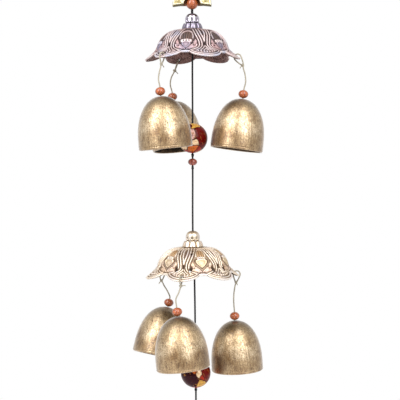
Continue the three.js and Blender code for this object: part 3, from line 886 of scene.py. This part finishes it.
def bead_section(half_width, half_height, bore, rows=26):
    """Round, with a softened edge at each end of the bore."""
    first = math.asin(bore / half_width)
    end = half_height * math.cos(first) * 0.9
    angle = np.linspace(first * 1.08, math.pi - first * 1.08, rows)
    round_side = np.stack([half_width * np.sin(angle), half_height * np.cos(angle)], axis=1)
    return [[bore, -end], [bore, end], *round_side]


def make_bead(name, node, body, look, sizes, matrix, bore=MAIN_BORE):
    make_piece(name, body, look, node, *turned(bead_section(*sizes, bore), 40), matrix)


def ball_patches(tier):
    """The named patches, and others spread over the rest of the ball."""
    seeds = [(unit(way), colour, extra) for *way, colour, extra in BALL_PATCHES[tier]]
    random = np.random.default_rng(40 + tier)
    tries = 0
    while len(seeds) < MOST_PATCHES and tries < 4000:
        tries += 1
        way = unit(random.normal(size=3))
        apart = min(np.linalg.norm(way - seed) for seed, *_ in seeds)
        if way[1] > -0.45 and apart > PATCH_SPACING:
            seeds.append((way, UNSEEN_COLOURS[len(seeds) % len(UNSEEN_COLOURS)], 0))
    return seeds


def make_ball(tier, body):
    points, faces = turned(bead_section(BALL_RADIUS, BALL_RADIUS, MAIN_BORE, 120), 180)
    way = points / np.linalg.norm(points, axis=1)[:, None]
    x, y, z = way.T
    bent = way + 0.09 * np.stack([np.sin(7 * y + 3 * z), np.sin(6 * z + 1), np.sin(8 * x + 2)], axis=1)
    seeds, colours, extras = zip(*ball_patches(tier))
    gaps = np.stack([np.linalg.norm(bent - seed, axis=1) for seed in seeds], axis=1) - extras
    nearest, second = np.sort(gaps, axis=1)[:, :2].T
    flat = smooth_step(second - nearest, 0.02, 0.075)[:, None]
    patch = SEAM * (1 - flat) + np.array(colours)[np.argmin(gaps, axis=1)] * flat
    make_piece(f"ball_{tier + 1}", body, "ball", f"clapper_ball_{tier + 1}", points, faces,
               at_height(BALL_HEIGHTS[tier]), patch=patch, seam=flat.ravel())


# ---- Bells ----
BELL_FOOT = [  # what the radius and the foot's height get, from the side down to the inner lip
    (-0.1, 2.1), (-0.12, 1.85), (0.05, 1.55), (0, 1.1), (-0.18, 0.65), (-0.5, 0.2),
    (-0.85, 0), (-1.4, 0.05), (-1.8, 0.4),
]


def bell_dome(thinner, degrees):
    """The outer dome, or the inner one where thinner is the wall."""
    s, c = math.sin(math.radians(degrees)), math.cos(math.radians(degrees))
    power = 2 / BELL_ROUNDNESS
    z = (BELL_DOME - thinner) * max(c, 0) ** power - BELL_DOME + BELL_WALL / 2
    return [(BELL_RADIUS - thinner) * s ** power, z]


def bell_section():
    """The outside from the crown's hole to the lip, then the inside back up, and the first row of
    faces that is inside."""
    foot = BELL_WALL / 2 - BELL_HEIGHT
    outer = [[MAIN_BORE, BELL_WALL / 2 - 0.3], [MAIN_BORE + 0.3, BELL_WALL / 2]]
    outer += [bell_dome(0, degrees) for degrees in np.linspace(5, 89.9, 44)]
    side = np.linspace(BELL_WALL / 2 - BELL_DOME - 0.6, foot + 2.4, 6)
    outer += [[BELL_RADIUS + 0.05, z] for z in side]
    outer += [[BELL_RADIUS + wider, foot + rise] for wider, rise in BELL_FOOT]
    inner = [bell_dome(BELL_WALL, degrees) for degrees in np.linspace(89.9, 8, 20)]
    return [*outer, *inner, [MAIN_BORE, -BELL_WALL / 2]], len(outer) - 1


def make_bell(bell):
    name = bell.name
    section, first_inside = bell_section()
    points, faces = turned(section, 96)
    picks = (np.arange(len(faces)) % len(section)) >= first_inside
    lean = Vector((0, 0, -1)).rotation_difference(Vector(bell.axis)).to_matrix().to_4x4()
    spin = rotation(140 + 50 * ord(name[1]))
    crown = Matrix.Translation(Vector(bell.crown * MM)) @ lean
    make_piece(f"brass_bell_{name}", f"bell_{name}", "bell", f"bell_{name}", points, faces,
               crown @ spin, picks=picks)
    above = Matrix.Translation((0, 0, BEAD_ABOVE_CROWN * MM))
    make_bead(f"wood_bead_{name}", f"bell_bead_{name}", f"bell_line_{name}", "wood", BELL_BEAD,
              crown @ above @ spin, BELL_BORE)


# ---- Finials and petal collars ----
FINIAL_SLOTS = 8
STRAIGHT_SIDE = 3.4
SLOT_MIDDLE = 2.3
SLOT_HALF_SIZES = [0.52, 1.45]


def make_finial(tier):
    """A smooth bud with narrow slots round its middle."""
    look, crown, r = TIERS[tier], f"crown_{tier + 1}", FINIAL_RADIUS
    section = [[MAIN_BORE, 0.2], [MAIN_BORE, FINIAL_HEIGHT * 0.97]]
    for angle in np.radians(np.linspace(14, 90, 26)):
        rise = (FINIAL_HEIGHT - STRAIGHT_SIDE) * math.cos(angle)
        section.append([r * math.sin(angle), STRAIGHT_SIDE + rise])
    section += [[r, z] for z in np.linspace(STRAIGHT_SIDE - 0.3, 0.9, 9)]
    section += [[r - 0.12, 0.55], [r - 0.45, 0.15], [r - 1, 0]]
    points, faces = turned(section, 192)
    x, y, z = points.T
    angle, spacing = np.arctan2(y, x), TURN / FINIAL_SLOTS
    away = (angle - spacing * np.round(angle / spacing)) * r
    half_width, half_height = SLOT_HALF_SIZES
    slot = 1 - smooth_step(np.hypot(away / half_width, (z - SLOT_MIDDLE) / half_height), 0.75, 1.0)
    slot *= np.hypot(x, y) > r * 0.8
    # Painted shade: the metal is darker in the slots, round the foot and over the summit.
    foot, summit_shade = 1 - smooth_step(z, 0.0, 0.7), smooth_step(z, 5.2, 7.4)
    relief = np.clip(look.bud_face - 0.95 * slot - 0.5 * foot - 0.4 * summit_shade, 0, 1)
    points[:, :2] *= (1 - 0.18 * slot)[:, None]
    at = at_height(TIER_TOPS[tier] - FINIAL_HEIGHT, look.bud_turn, crown_x(tier))
    make_piece(f"finial_{tier + 1}", crown, crown, f"bud_finial_{tier + 1}", points, faces, at,
               relief=relief)


def make_collar(tier):
    """Eight petals that stand round the finial's foot, with rounded tops and grooves between."""
    look, crown = TIERS[tier], f"crown_{tier + 1}"
    angle = round_angles(256)
    share = np.linspace(1, 0, 16)  # of the way up a petal's outside
    core = COLLAR_HEIGHT * 0.6
    grid, relief = [], []
    for petal in np.abs(np.cos(4 * angle)) ** 0.4:
        top = COLLAR_HEIGHT * (0.66 + 0.34 * petal)
        bulge = 0.55 * np.sin(math.pi * share) * petal
        outer = (7.2 + 1.75 * (1 - share) ** 1.5 + bulge) * (0.88 + 0.12 * petal)
        inner = [[MAIN_BORE, 0.0], [MAIN_BORE, core], [5.2, core], [5.4, top - 0.5],
                 [6.2 * (0.9 + 0.1 * petal), top - 0.05]]
        grid.append([*inner, *zip(outer, top * share)])
        edge = look.petal_edge * (1 - smooth_step(top * (1 - share), 0.1, 0.7))
        groove = 1 - smooth_step(petal, 0.45, 0.75)
        face = look.petal_face + 0.12 * np.sin(math.pi * share)
        relief += [0.05, 0.05, 0.1, 0.2, 0.6, *(np.maximum(face, edge) * (1 - 0.5 * groove))]
    radius, height = np.moveaxis(np.array(grid), 2, 0)
    points = around_z(radius, angle[:, None], height)
    faces = ring_faces(len(angle), radius.shape[1])
    foot = TIER_TOPS[tier] - FINIAL_HEIGHT - GAP - COLLAR_HEIGHT
    at = at_height(foot, look.petal_turn, crown_x(tier))
    make_piece(f"collar_{tier + 1}", crown, crown, f"petal_collar_{tier + 1}", points, faces, at,
               relief=relief)


# ---- Lotus caps ----
# Each sixth of a cap has a lobe in its middle and half a flower panel on each side. On the surface,
# u is the distance across from a panel's middle, v the distance down from the bore, away the
# distance across from a lobe's middle and edge the distance from the rim.
PANEL_OUTLINE = [
    [0, 10.2], [1.6, 10.7], [2.4, 12.6], [4.4, 19.3], [6.2, 23.7], [8, 27.6], [9.8, 31], [11.1, 34.4],
    [11.3, 36.5], [10.2, 38.5], [7.8, 40.1], [4, 41], [0, 41.2],
]
RIB_PITCH = 2.2
SCALE_PITCH = 2.6
BEAD_PITCH = 2.4
FOLD_PITCH = 1.9
RELIEF_RISE = 1.15
HOOD_HEIGHT = 8.4
OUTER_PETALS = [[4.8, 37.9, 60, 6.2, 2.5], [8.0, 33.0, 26, 3.6, 1.6]]
OUTER_TAPER = 0.25
BUD_TAPER = 0.7
OPENINGS = [[17.9, 1.6], [22.2, 1.5]]  # v and half height of those beside a panel


def cap_meridians(angle):
    """The control points of the outer line at each angle, and the distance along it to each."""
    away = np.abs(angle - LOBE_SPACING * np.round(angle / LOBE_SPACING))
    share = np.clip(away / math.radians(LOBE_HALF_ANGLE), 0, 1)
    flare = np.cos(share * math.pi / 2) ** 0.7
    line = CAP_LINE[:, :2] + flare[:, None, None] * CAP_LINE[:, 2:]
    return line, distances(line)


def cap_surface(angle, down):
    """Radius and height of the outer surface, the slope of its line and that line's length, at
    each angle and each share of the way down."""
    line, along = cap_meridians(angle)
    down = down * along[:, -1]
    last = line.shape[1] - 1
    before, after = (np.clip(np.arange(last + 1) + step, 0, last) for step in (-1, 1))
    slopes = (line[:, after] - line[:, before]) / (along[:, after] - along[:, before])[:, :, None]
    i = np.clip((along <= down[:, None]).sum(axis=1) - 1, 0, last - 1)
    n = np.arange(len(angle))
    width = (along[n, i + 1] - along[n, i])[:, None]
    t = np.clip((down - along[n, i])[:, None] / width, 0, 1)
    p, q = line[n, i], line[n, i + 1]
    a, b = slopes[n, i], slopes[n, i + 1]
    way = (6 * t**2 - 6 * t) * (p - q) / width + (3 * t**2 - 4 * t + 1) * a + (3 * t**2 - 2 * t) * b
    way /= np.linalg.norm(way, axis=1)[:, None]
    return cubic(t, width, p, a, q, b).T, way.T, down, along[:, -1]


def outline_distance(u, v):
    """Distance from the panel's outline, below 0 inside the panel."""
    side = through(PANEL_OUTLINE, 0.5)
    distance = nearest_edge(np.stack([u, v], axis=1), zip(side[:-1], side[1:]))
    order = np.argsort(side[:, 1])
    half = np.interp(v, side[order, 1], side[order, 0], left=-1, right=-1)
    return np.where(u < half, -distance, distance)


def petal_over(field, u, v, petal, taper):
    """Lays a petal [u, v, lean in degrees, half length, half width] over the field: a raised edge, a
    raised middle line and a dark line round it."""
    at_u, at_v, lean, length, width = petal
    c, s = math.cos(math.radians(lean)), math.sin(math.radians(lean))
    along = (v - at_v) * c - (u - at_u) * s
    across = (v - at_v) * s + (u - at_u) * c
    inside = 1 - np.hypot(along / length, across / (width * (1 - taper * along / length)))
    edge = np.exp(-((inside - 0.24) / 0.16) ** 2)
    vein = np.exp(-(across / 0.35) ** 2) * 0.5
    leaf = np.maximum(0.35 + 0.5 * np.clip(inside, 0, 1), np.maximum(edge, vein))
    cut = 1 - 0.85 * np.exp(-(inside / 0.1) ** 2)
    return np.where(inside > 0, leaf, field) * cut, inside > 0.02


def ridge(distance, pitch):
    """Parallel raised lines, 1 on a line and 0 between, with a sharp hollow."""
    return wave(distance, pitch) ** 1.15


def panel_relief(look, u, v):
    """The hood, the beaded band and the flower of a panel, and how much of the hood's, the bud's and
    the outer petals' tints each point has."""
    flower = np.full(u.shape, look.flower)
    outer = np.zeros(u.shape, bool)
    for petal in OUTER_PETALS:
        flower, inside = petal_over(flower, u, v, petal, OUTER_TAPER)
        outer |= inside
    flower, bud = petal_over(flower, u, v, look.bud, BUD_TAPER)
    half, below = look.hood, v - look.band
    band_edge = np.maximum(np.abs(u) - half + 0.5, np.abs(below - 0.03 * u**2) - 1.3)
    band = 1 - smooth_step(band_edge, -0.3, 0.3)
    for dot_u in (0.0, half * 0.45):
        band = band * smooth_step(np.hypot(u - dot_u, below), 0.45, 0.8)
    above = below < -1.7
    hood_edge = (np.hypot(u / half, np.minimum(below + 2.4, 0) / HOOD_HEIGHT) - 1) * half
    hood = (1 - smooth_step(hood_edge, -0.7, -0.2)) * above
    hood_rim = (1 - smooth_step(np.abs(hood_edge - 0.3), 0.3, 0.7)) * above
    folds = look.folds + look.fold_depth * np.cos(TURN * u / FOLD_PITCH)
    field = np.max([flower, band, hood * folds, 0.8 * hood_rim], axis=0)
    return field, np.stack([hood, bud * (band < 0.5), outer & ~bud])


def cap_relief(look, u, v, away, edge):
    """How high the casting stands, from 0 in its hollows to 1 on its ridges, and the shares of the
    panel's tints."""
    d = outline_distance(u, v)
    panel, shares = panel_relief(look, u, v)
    within = 1 - smooth_step(d, -1.7, -1.1)
    field = panel * within + ridge(d, RIB_PITCH) * (1 - within)

    beads = 0.25 + 0.75 * wave(away, BEAD_PITCH)
    scales = np.where((edge > 5.6) & (edge < 7.2), beads, ridge(edge - 0.65, SCALE_PITCH))
    on_lobe = 1 - smooth_step(edge + 0.028 * away**2, 7.4, 8.6)
    field = field * (1 - on_lobe) + scales * on_lobe
    # The rim takes the full relief, and so the painted highlight at the top of the metal's colours.
    rim = 1 - smooth_step(edge, 1.3, 2.0)
    crown = smooth_step(v, 8.5, 10.5)
    # Darker towards the crown: the relief, and with it the colour, is lowered there.
    crown_dimming = 1 - look.crown_dimming * (1 - smooth_step(v, 12, 27))
    height = np.maximum(field, rim) * crown * crown_dimming + 0.3 * (1 - crown)
    return height, shares * within * (1 - on_lobe)


def opening_distance(tier, u, v, away, edge, corded):
    """Distance from the nearest pierced opening, below 0 inside one."""
    size = TIERS[tier].opening
    beside = (outline_distance(u, v) - 1.1) / (0.8 * size)
    found = [np.hypot(beside, (v - at) / (half * size)) - 1 for at, half in OPENINGS]
    if tier == 1:
        found.append(np.hypot((away - 6.2) / 1.5, (v - 37.5 + 0.45 * (away - 6.2)) / 2.2) - 1)
    found.append(np.hypot(away / (0.75 * size), (v - 35.1) / 1.7) - 1)
    cord = np.hypot(away, edge - TIP_TO_BAR - BAR_TO_HOLE) - CORD_HOLE
    return np.min([*found, np.where(corded, cord, 9.0)], axis=0)


def make_cap(tier):
    look, number, name = TIERS[tier], tier + 1, f"cap_{tier + 1}"
    around, rows = 480, 104
    angle = np.repeat(round_angles(around), rows)
    (radius, height), way, v, length = cap_surface(angle, np.tile(np.linspace(0, 1, rows), around))
    lobe = np.round(angle / LOBE_SPACING)
    off_lobe = np.abs(angle - LOBE_SPACING * lobe)
    u, away, edge = radius * (LOBE_SPACING / 2 - off_lobe), radius * off_lobe, length - v
    hole = opening_distance(tier, u, v, away, edge, lobe % 2 == 0)
    faces = ring_faces(around, rows, closed_rows=False)
    faces = faces[~(hole < 0)[faces].all(axis=1)]

    relief, shares = cap_relief(look, u, v, away, edge)
    tint = np.ones((len(u), 4))
    tint[:, :3] += shares.T @ (np.array(look.tints) - 1)
    relief = relief * smooth_step(hole, 0.0, 0.35)
    rise = RELIEF_RISE * (relief - 0.6) * smooth_step(v, 7.5, 10.5)
    points = around_z(radius - way[1] * rise, angle, height + way[0] * rise)
    used, faces = np.unique(faces, return_inverse=True)
    at = at_height(CAP_TOPS[tier], TIER_TURNS[tier], crown_x(tier))
    made = make_piece(f"lotus_{number}", f"crown_{number}", name, f"lotus_{name}", points[used],
                      faces.reshape(-1, 4), at, relief=relief[used], tint=tint[used])
    wall = made.modifiers.new("wall", "SOLIDIFY")
    wall.thickness = (CAP_WALL - 0.2) * MM
    wall.offset = -1
    # The inner shell takes the underside's darker colours, painted shade.
    wall.material_offset = 1


# ---- Embossed plates: the saddle ornament and the wind leaf ----
def bezier(p0, p1, p2, p3, count):
    t = np.linspace(0, 1, count, endpoint=False)[:, None]
    p0, p1, p2, p3 = np.array([p0, p1, p2, p3], float)
    return (1 - t) ** 3 * p0 + 3 * (1 - t) ** 2 * t * p1 + 3 * (1 - t) * t**2 * p2 + t**3 * p3


def arc(x, z, radius, first, last, count):
    """From one angle to another round a middle, in radians."""
    angle = np.linspace(first, last, count)
    return np.stack([x + radius * np.cos(angle), z + radius * np.sin(angle)], axis=1)


def within_edges(points, edges):
    """Which points are inside the outline and outside the holes."""
    x, y = points.T
    inside = np.zeros(len(points), bool)
    for (x1, y1), (x2, y2) in edges:
        if y1 != y2:
            crosses = (y1 > y) != (y2 > y)
            inside ^= crosses & (x < (x2 - x1) * (y - y1) / (y2 - y1) + x1)
    return inside


def plate_triangles(loops, edges, spacing):
    """Points of X and Z, and triangles, that fill an outline outside its holes."""
    low, high = loops[0].min(axis=0), loops[0].max(axis=0)
    xs, zs = (np.arange(low[k], high[k], spacing) for k in (0, 1))
    grid = np.array([(x, z) for x in xs for z in zs])
    keep = within_edges(grid, edges) & (nearest_edge(grid, edges) > spacing * 0.45)
    corners = np.concatenate([*loops, grid[keep]])
    sides, first = [], 0
    for loop in loops:
        count = len(loop)
        sides += [(first + i, first + (i + 1) % count) for i in range(count)]
        first += count
    flat, _, triangles, *_ = delaunay_2d_cdt([Vector(p) for p in corners], sides, [], 0, 1e-6)
    flat, triangles = np.array([list(p) for p in flat]), np.array(triangles)
    triangles = triangles[within_edges(flat[triangles].mean(axis=1), edges)]
    a, b, c = (flat[triangles[:, k]] for k in range(3))
    area = (b[:, 0] - a[:, 0]) * (c[:, 1] - a[:, 1]) - (b[:, 1] - a[:, 1]) * (c[:, 0] - a[:, 0])
    triangles[area < 0] = triangles[area < 0][:, ::-1]
    return flat, triangles


def embossed_plate(name, look, loops, half_depth, relief_of, rise, spacing, rounding=0.8):
    """A plate in X and Z with relief on both faces. loops are its outline and then its holes, and
    relief_of gives 0 to 1 at points of X and Z."""
    edges = [edge for loop in loops for edge in zip(loop, np.roll(loop, -1, axis=0))]
    flat, triangles = plate_triangles(loops, edges, spacing)
    border = nearest_edge(flat, edges)
    relief = relief_of(flat, border)
    share = np.clip(border / rounding, 0, 1)
    rim = rounding * (1 - np.sqrt(1 - (1 - share) ** 2))
    depth = half_depth - rim * 0.8 + rise * (relief - 0.5) * share
    points = np.concatenate([np.stack([flat[:, 0], y, flat[:, 1]], axis=1) for y in (-depth, depth)])
    count = len(flat)
    faces = [*triangles, *(triangles[:, ::-1] + count)]
    directed = dict.fromkeys((int(t[k]), int(t[(k + 1) % 3])) for t in triangles for k in range(3))
    faces += [[start, start + count, end + count, end] for start, end in directed
              if (end, start) not in directed]
    return make_mesh(name, look, points, faces, relief=np.tile(relief, 2))


SADDLE_FOOT = -67.8
SADDLE_SHOULDER = -57
SADDLE_HALF_WIDTH = 16.4
SADDLE_HALF_DEPTH = 6
SADDLE_NECK = 5
ARCH_RADIUS = 7
SPRINGING = SADDLE_FOOT + 0.6
FOOT_RISE = 1.1  # of the feet, from their outer ends to the arch
FAN_Z = SADDLE_TOP + 6
FAN_LINES = 22
FAN_PITCH = 5.2


def saddle_outline():
    w, foot, shoulder, neck = SADDLE_HALF_WIDTH, SADDLE_FOOT, SADDLE_SHOULDER, [SADDLE_NECK, SADDLE_TOP]
    right = [[w, foot]]
    right += [[w - share, foot + (shoulder - foot) * share] for share in np.linspace(0.12, 1, 8)]
    right += [*bezier([w - 1, shoulder], [w - 1.33, -52.3], [w - 5.1, -48.6], neck, 16)[1:], neck]
    top = [[x, SADDLE_TOP + 0.25 * math.cos(math.pi * x / 10)] for x in np.linspace(4, -4, 8)]
    left = [[-x, z] for x, z in right[::-1]]
    arch = arc(0, SPRINGING, ARCH_RADIUS, math.pi - 0.2, 0.2, 24)
    ends = [[side * ARCH_RADIUS, foot + FOOT_RISE] for side in (-1, 1)]
    return np.array([*right, *top, *left, ends[0], *arch, ends[1]], float)


def saddle_relief(points, border):
    """A raised border, and lines that fan out from the middle of the top."""
    edge = 1 - smooth_step(np.abs(border - 0.9), 0.35, 0.8)
    x, z = points[:, 0], points[:, 1] - FAN_Z
    fan = wave(np.arctan2(x, -z), TURN / FAN_LINES) ** 0.7
    scales = np.clip(0.25 + 0.75 * fan * (0.35 + 0.65 * wave(np.hypot(x, z), FAN_PITCH)), 0, 1)
    return np.maximum(edge, np.where(border > 1.9, scales, 0.1))


def cut_bore(piece, radius, top, bottom):
    """A round bore down the central cord's line."""
    data = bpy.data.meshes.new("bore")
    form = bmesh.new()
    middle = Matrix.Translation((0, 0, (top + bottom) / 2 * MM))
    bmesh.ops.create_cone(form, cap_ends=True, segments=32, radius1=radius * MM,
                          radius2=radius * MM, depth=(top - bottom) * MM, matrix=middle)
    form.to_mesh(data)
    form.free()
    tool = add_object("bore", data)
    cutter = piece.modifiers.new("bore", "BOOLEAN")
    cutter.operation = "DIFFERENCE"
    cutter.object = tool
    bpy.context.view_layer.update()
    cut = piece.evaluated_get(bpy.context.evaluated_depsgraph_get())
    solid = bpy.data.meshes.new_from_object(cut)
    piece.modifiers.clear()
    piece.data = solid
    bpy.data.objects.remove(tool)


def make_saddle():
    depth = SADDLE_HALF_DEPTH - 0.2
    saddle = embossed_plate("saddle", "gilt", [saddle_outline()], depth, saddle_relief, 0.6, 0.6)
    cut_bore(saddle, MAIN_BORE, SADDLE_TOP + 1, SADDLE_FOOT)
    give(saddle, "ornament", "gilt", "ornament_saddle")


PANEL_CORNER = 2.0


def make_panel():
    """A thin wooden back with rounded corners and edges."""
    low, high = (np.array(corner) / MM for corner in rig.box("ornament_panel"))
    (left, bottom), (right, top) = low[::2] + PANEL_CORNER, high[::2] - PANEL_CORNER
    middles = [(right, top), (left, top), (left, bottom), (right, bottom)]
    loop = np.concatenate([arc(*middle, PANEL_CORNER, k * TURN / 4, (k + 1) * TURN / 4, 6)
                           for k, middle in enumerate(middles)])
    panel = embossed_plate("wood_panel", "panel", [loop], (high[1] - low[1]) / 2,
                           lambda points, border: np.full(len(points), 0.5), 0.0, 1.0, 0.4)
    place(panel, Matrix.Translation((0, (low[1] + high[1]) / 2 * MM, 0)))
    give(panel, "ornament", "panel", "ornament_panel")


LEAF_TOP = LEAF_BAR_Z + 1.8
LEAF_HALF_WIDTH = 11
LEAF_TIP = LEAF_TOP - 30
VEIN_PITCH = 3.6


def leaf_loops():
    w, top = LEAF_HALF_WIDTH, LEAF_TOP
    left = bezier([-3, top], [-w - 3, top - 3], [-w, top - 17], [0, LEAF_TIP], 36)
    right = bezier([0, LEAF_TIP], [w, top - 17], [w + 3, top - 3], [3, top], 36)
    across = [[x, top] for x in np.linspace(3, -3, 9, endpoint=False)]
    hole = arc(0, LEAF_BAR_Z - LEAF_LOOP, MAIN_BORE, 0, TURN, 25)[:-1]
    return [np.concatenate([left, right, across]), hole]


def leaf_relief(points, border):
    """A middle rib and side veins that rise towards the edge."""
    x, down = np.abs(points[:, 0]), LEAF_TOP - points[:, 1]
    rib = np.exp(-(x / 0.55) ** 2) * (down > 6.5)
    vein = wave(down - 0.75 * x - 3, VEIN_PITCH) ** 5 * smooth_step(border, 0.8, 2.2) * (down > 7)
    edge = 1 - smooth_step(border, 0.7, 1.2)
    return np.clip(0.35 + 0.65 * np.max([rib, vein, edge], axis=0), 0, 1)


def make_leaf():
    leaf = embossed_plate("leaf", "brass", leaf_loops(), 0.5, leaf_relief, 0.35, 0.4, 0.35)
    give(leaf, "leaf", "brass", "wind_leaf")


def make_ring():
    """A round wire ring whose ends meet in a fine joint on one side."""
    turn, angle = round_angles(160)[:, None], round_angles(20)
    from_joint = np.abs((turn - 0.5 + math.pi) % TURN - math.pi) * RING_RADIUS
    joint = 1 - smooth_step(from_joint, 0.1, 0.5)
    wire = RING_WIRE * (1 - 0.12 * joint)
    x, z, y = around_z(RING_RADIUS + wire * np.cos(angle), turn, wire * np.sin(angle)).T
    points = np.stack([x, y, z + RING_WIRE - RING_RADIUS], axis=1)
    relief = np.repeat(0.8 - 0.7 * joint, angle.size)
    faces = ring_faces(turn.size, angle.size)
    make_piece("wire_ring", "hanger", "brass", "hanging_ring", points, faces, relief=relief)


# ---- Studio ----
FLOOR_Z = -520
FLOOR_RADIUS = 500
LIGHT_AIM = Vector((0, 0, -0.24))
LIGHT_ELEVATION = math.radians(36)
LIGHT_DISTANCE = 1.3
LIGHT_SIZE = (0.6, 1.4)


def floor_paper():
    n = Nodes("floor_paper")
    return n.finish(base_color=n.ramp(n.noise(6, 2, 0.5), (0.3, 0.88), (0.7, 0.92)), roughness=0.9)


def make_floor():
    points = around_z(FLOOR_RADIUS, round_angles(96), FLOOR_Z)
    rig.stage(make_mesh("floor", "floor", points, [range(len(points))]))


def make_light(name, azimuth, watts):
    """A softbox that faces the middle of the chime. Azimuth 0 is the camera's side."""
    data = bpy.data.lights.new(name, "AREA")
    data.shape = "RECTANGLE"
    data.size, data.size_y = LIGHT_SIZE
    data.energy = watts
    lamp = add_object(name, data)
    a, e = math.radians(azimuth), LIGHT_ELEVATION
    back = Vector((math.sin(a) * math.cos(e), -math.cos(a) * math.cos(e), math.sin(e)))
    lamp.location = LIGHT_AIM + back * LIGHT_DISTANCE
    lamp.rotation_mode = "QUATERNION"
    lamp.rotation_quaternion = (-back).to_track_quat("-Z", "Y")


def make_world():
    """White all round for the eye. Metal sees a white room with a darker side behind the camera."""
    n = Nodes("studio", world=True)
    way = n.add("ShaderNodeTexCoord").outputs["Generated"]
    depth = n.add("ShaderNodeSeparateXYZ", {0: way}).outputs["Y"]
    room = n.ramp(n.share_of(depth, -1, 1), (0.0, 0.5), (0.45, 0.7), (0.66, 0.62), (0.84, 0.78))
    seen = n.add("ShaderNodeLightPath").outputs["Is Camera Ray"]
    bpy.context.scene.world = n.finish(color=n.mix(seen, room, (1, 1, 1, 1)))


def make_studio():
    bpy.context.scene.view_settings.view_transform = "Standard"
    make_world()
    make_floor()
    make_light("softbox_left", -42, 15)
    make_light("softbox_right", 30, 14)


make_camera()
LOOKS = make_looks()
make_cords()
for *facts, height, turn in BEADS:
    make_bead(*facts, at_height(height, turn))
for bell in BELLS:
    make_bell(bell)
for tier, body in enumerate(["middle_line", "lower_line"]):
    make_ball(tier, body)
    make_finial(tier)
    make_collar(tier)
    make_cap(tier)
make_saddle()
make_panel()
make_leaf()
make_ring()
make_studio()

bpy.context.view_layer.update()
seen_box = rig.bounds()
with open("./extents.json", "w") as file:
    json.dump({"cad": [list(c) for c in cad_box], "visual": [list(c) for c in seen_box]}, file)
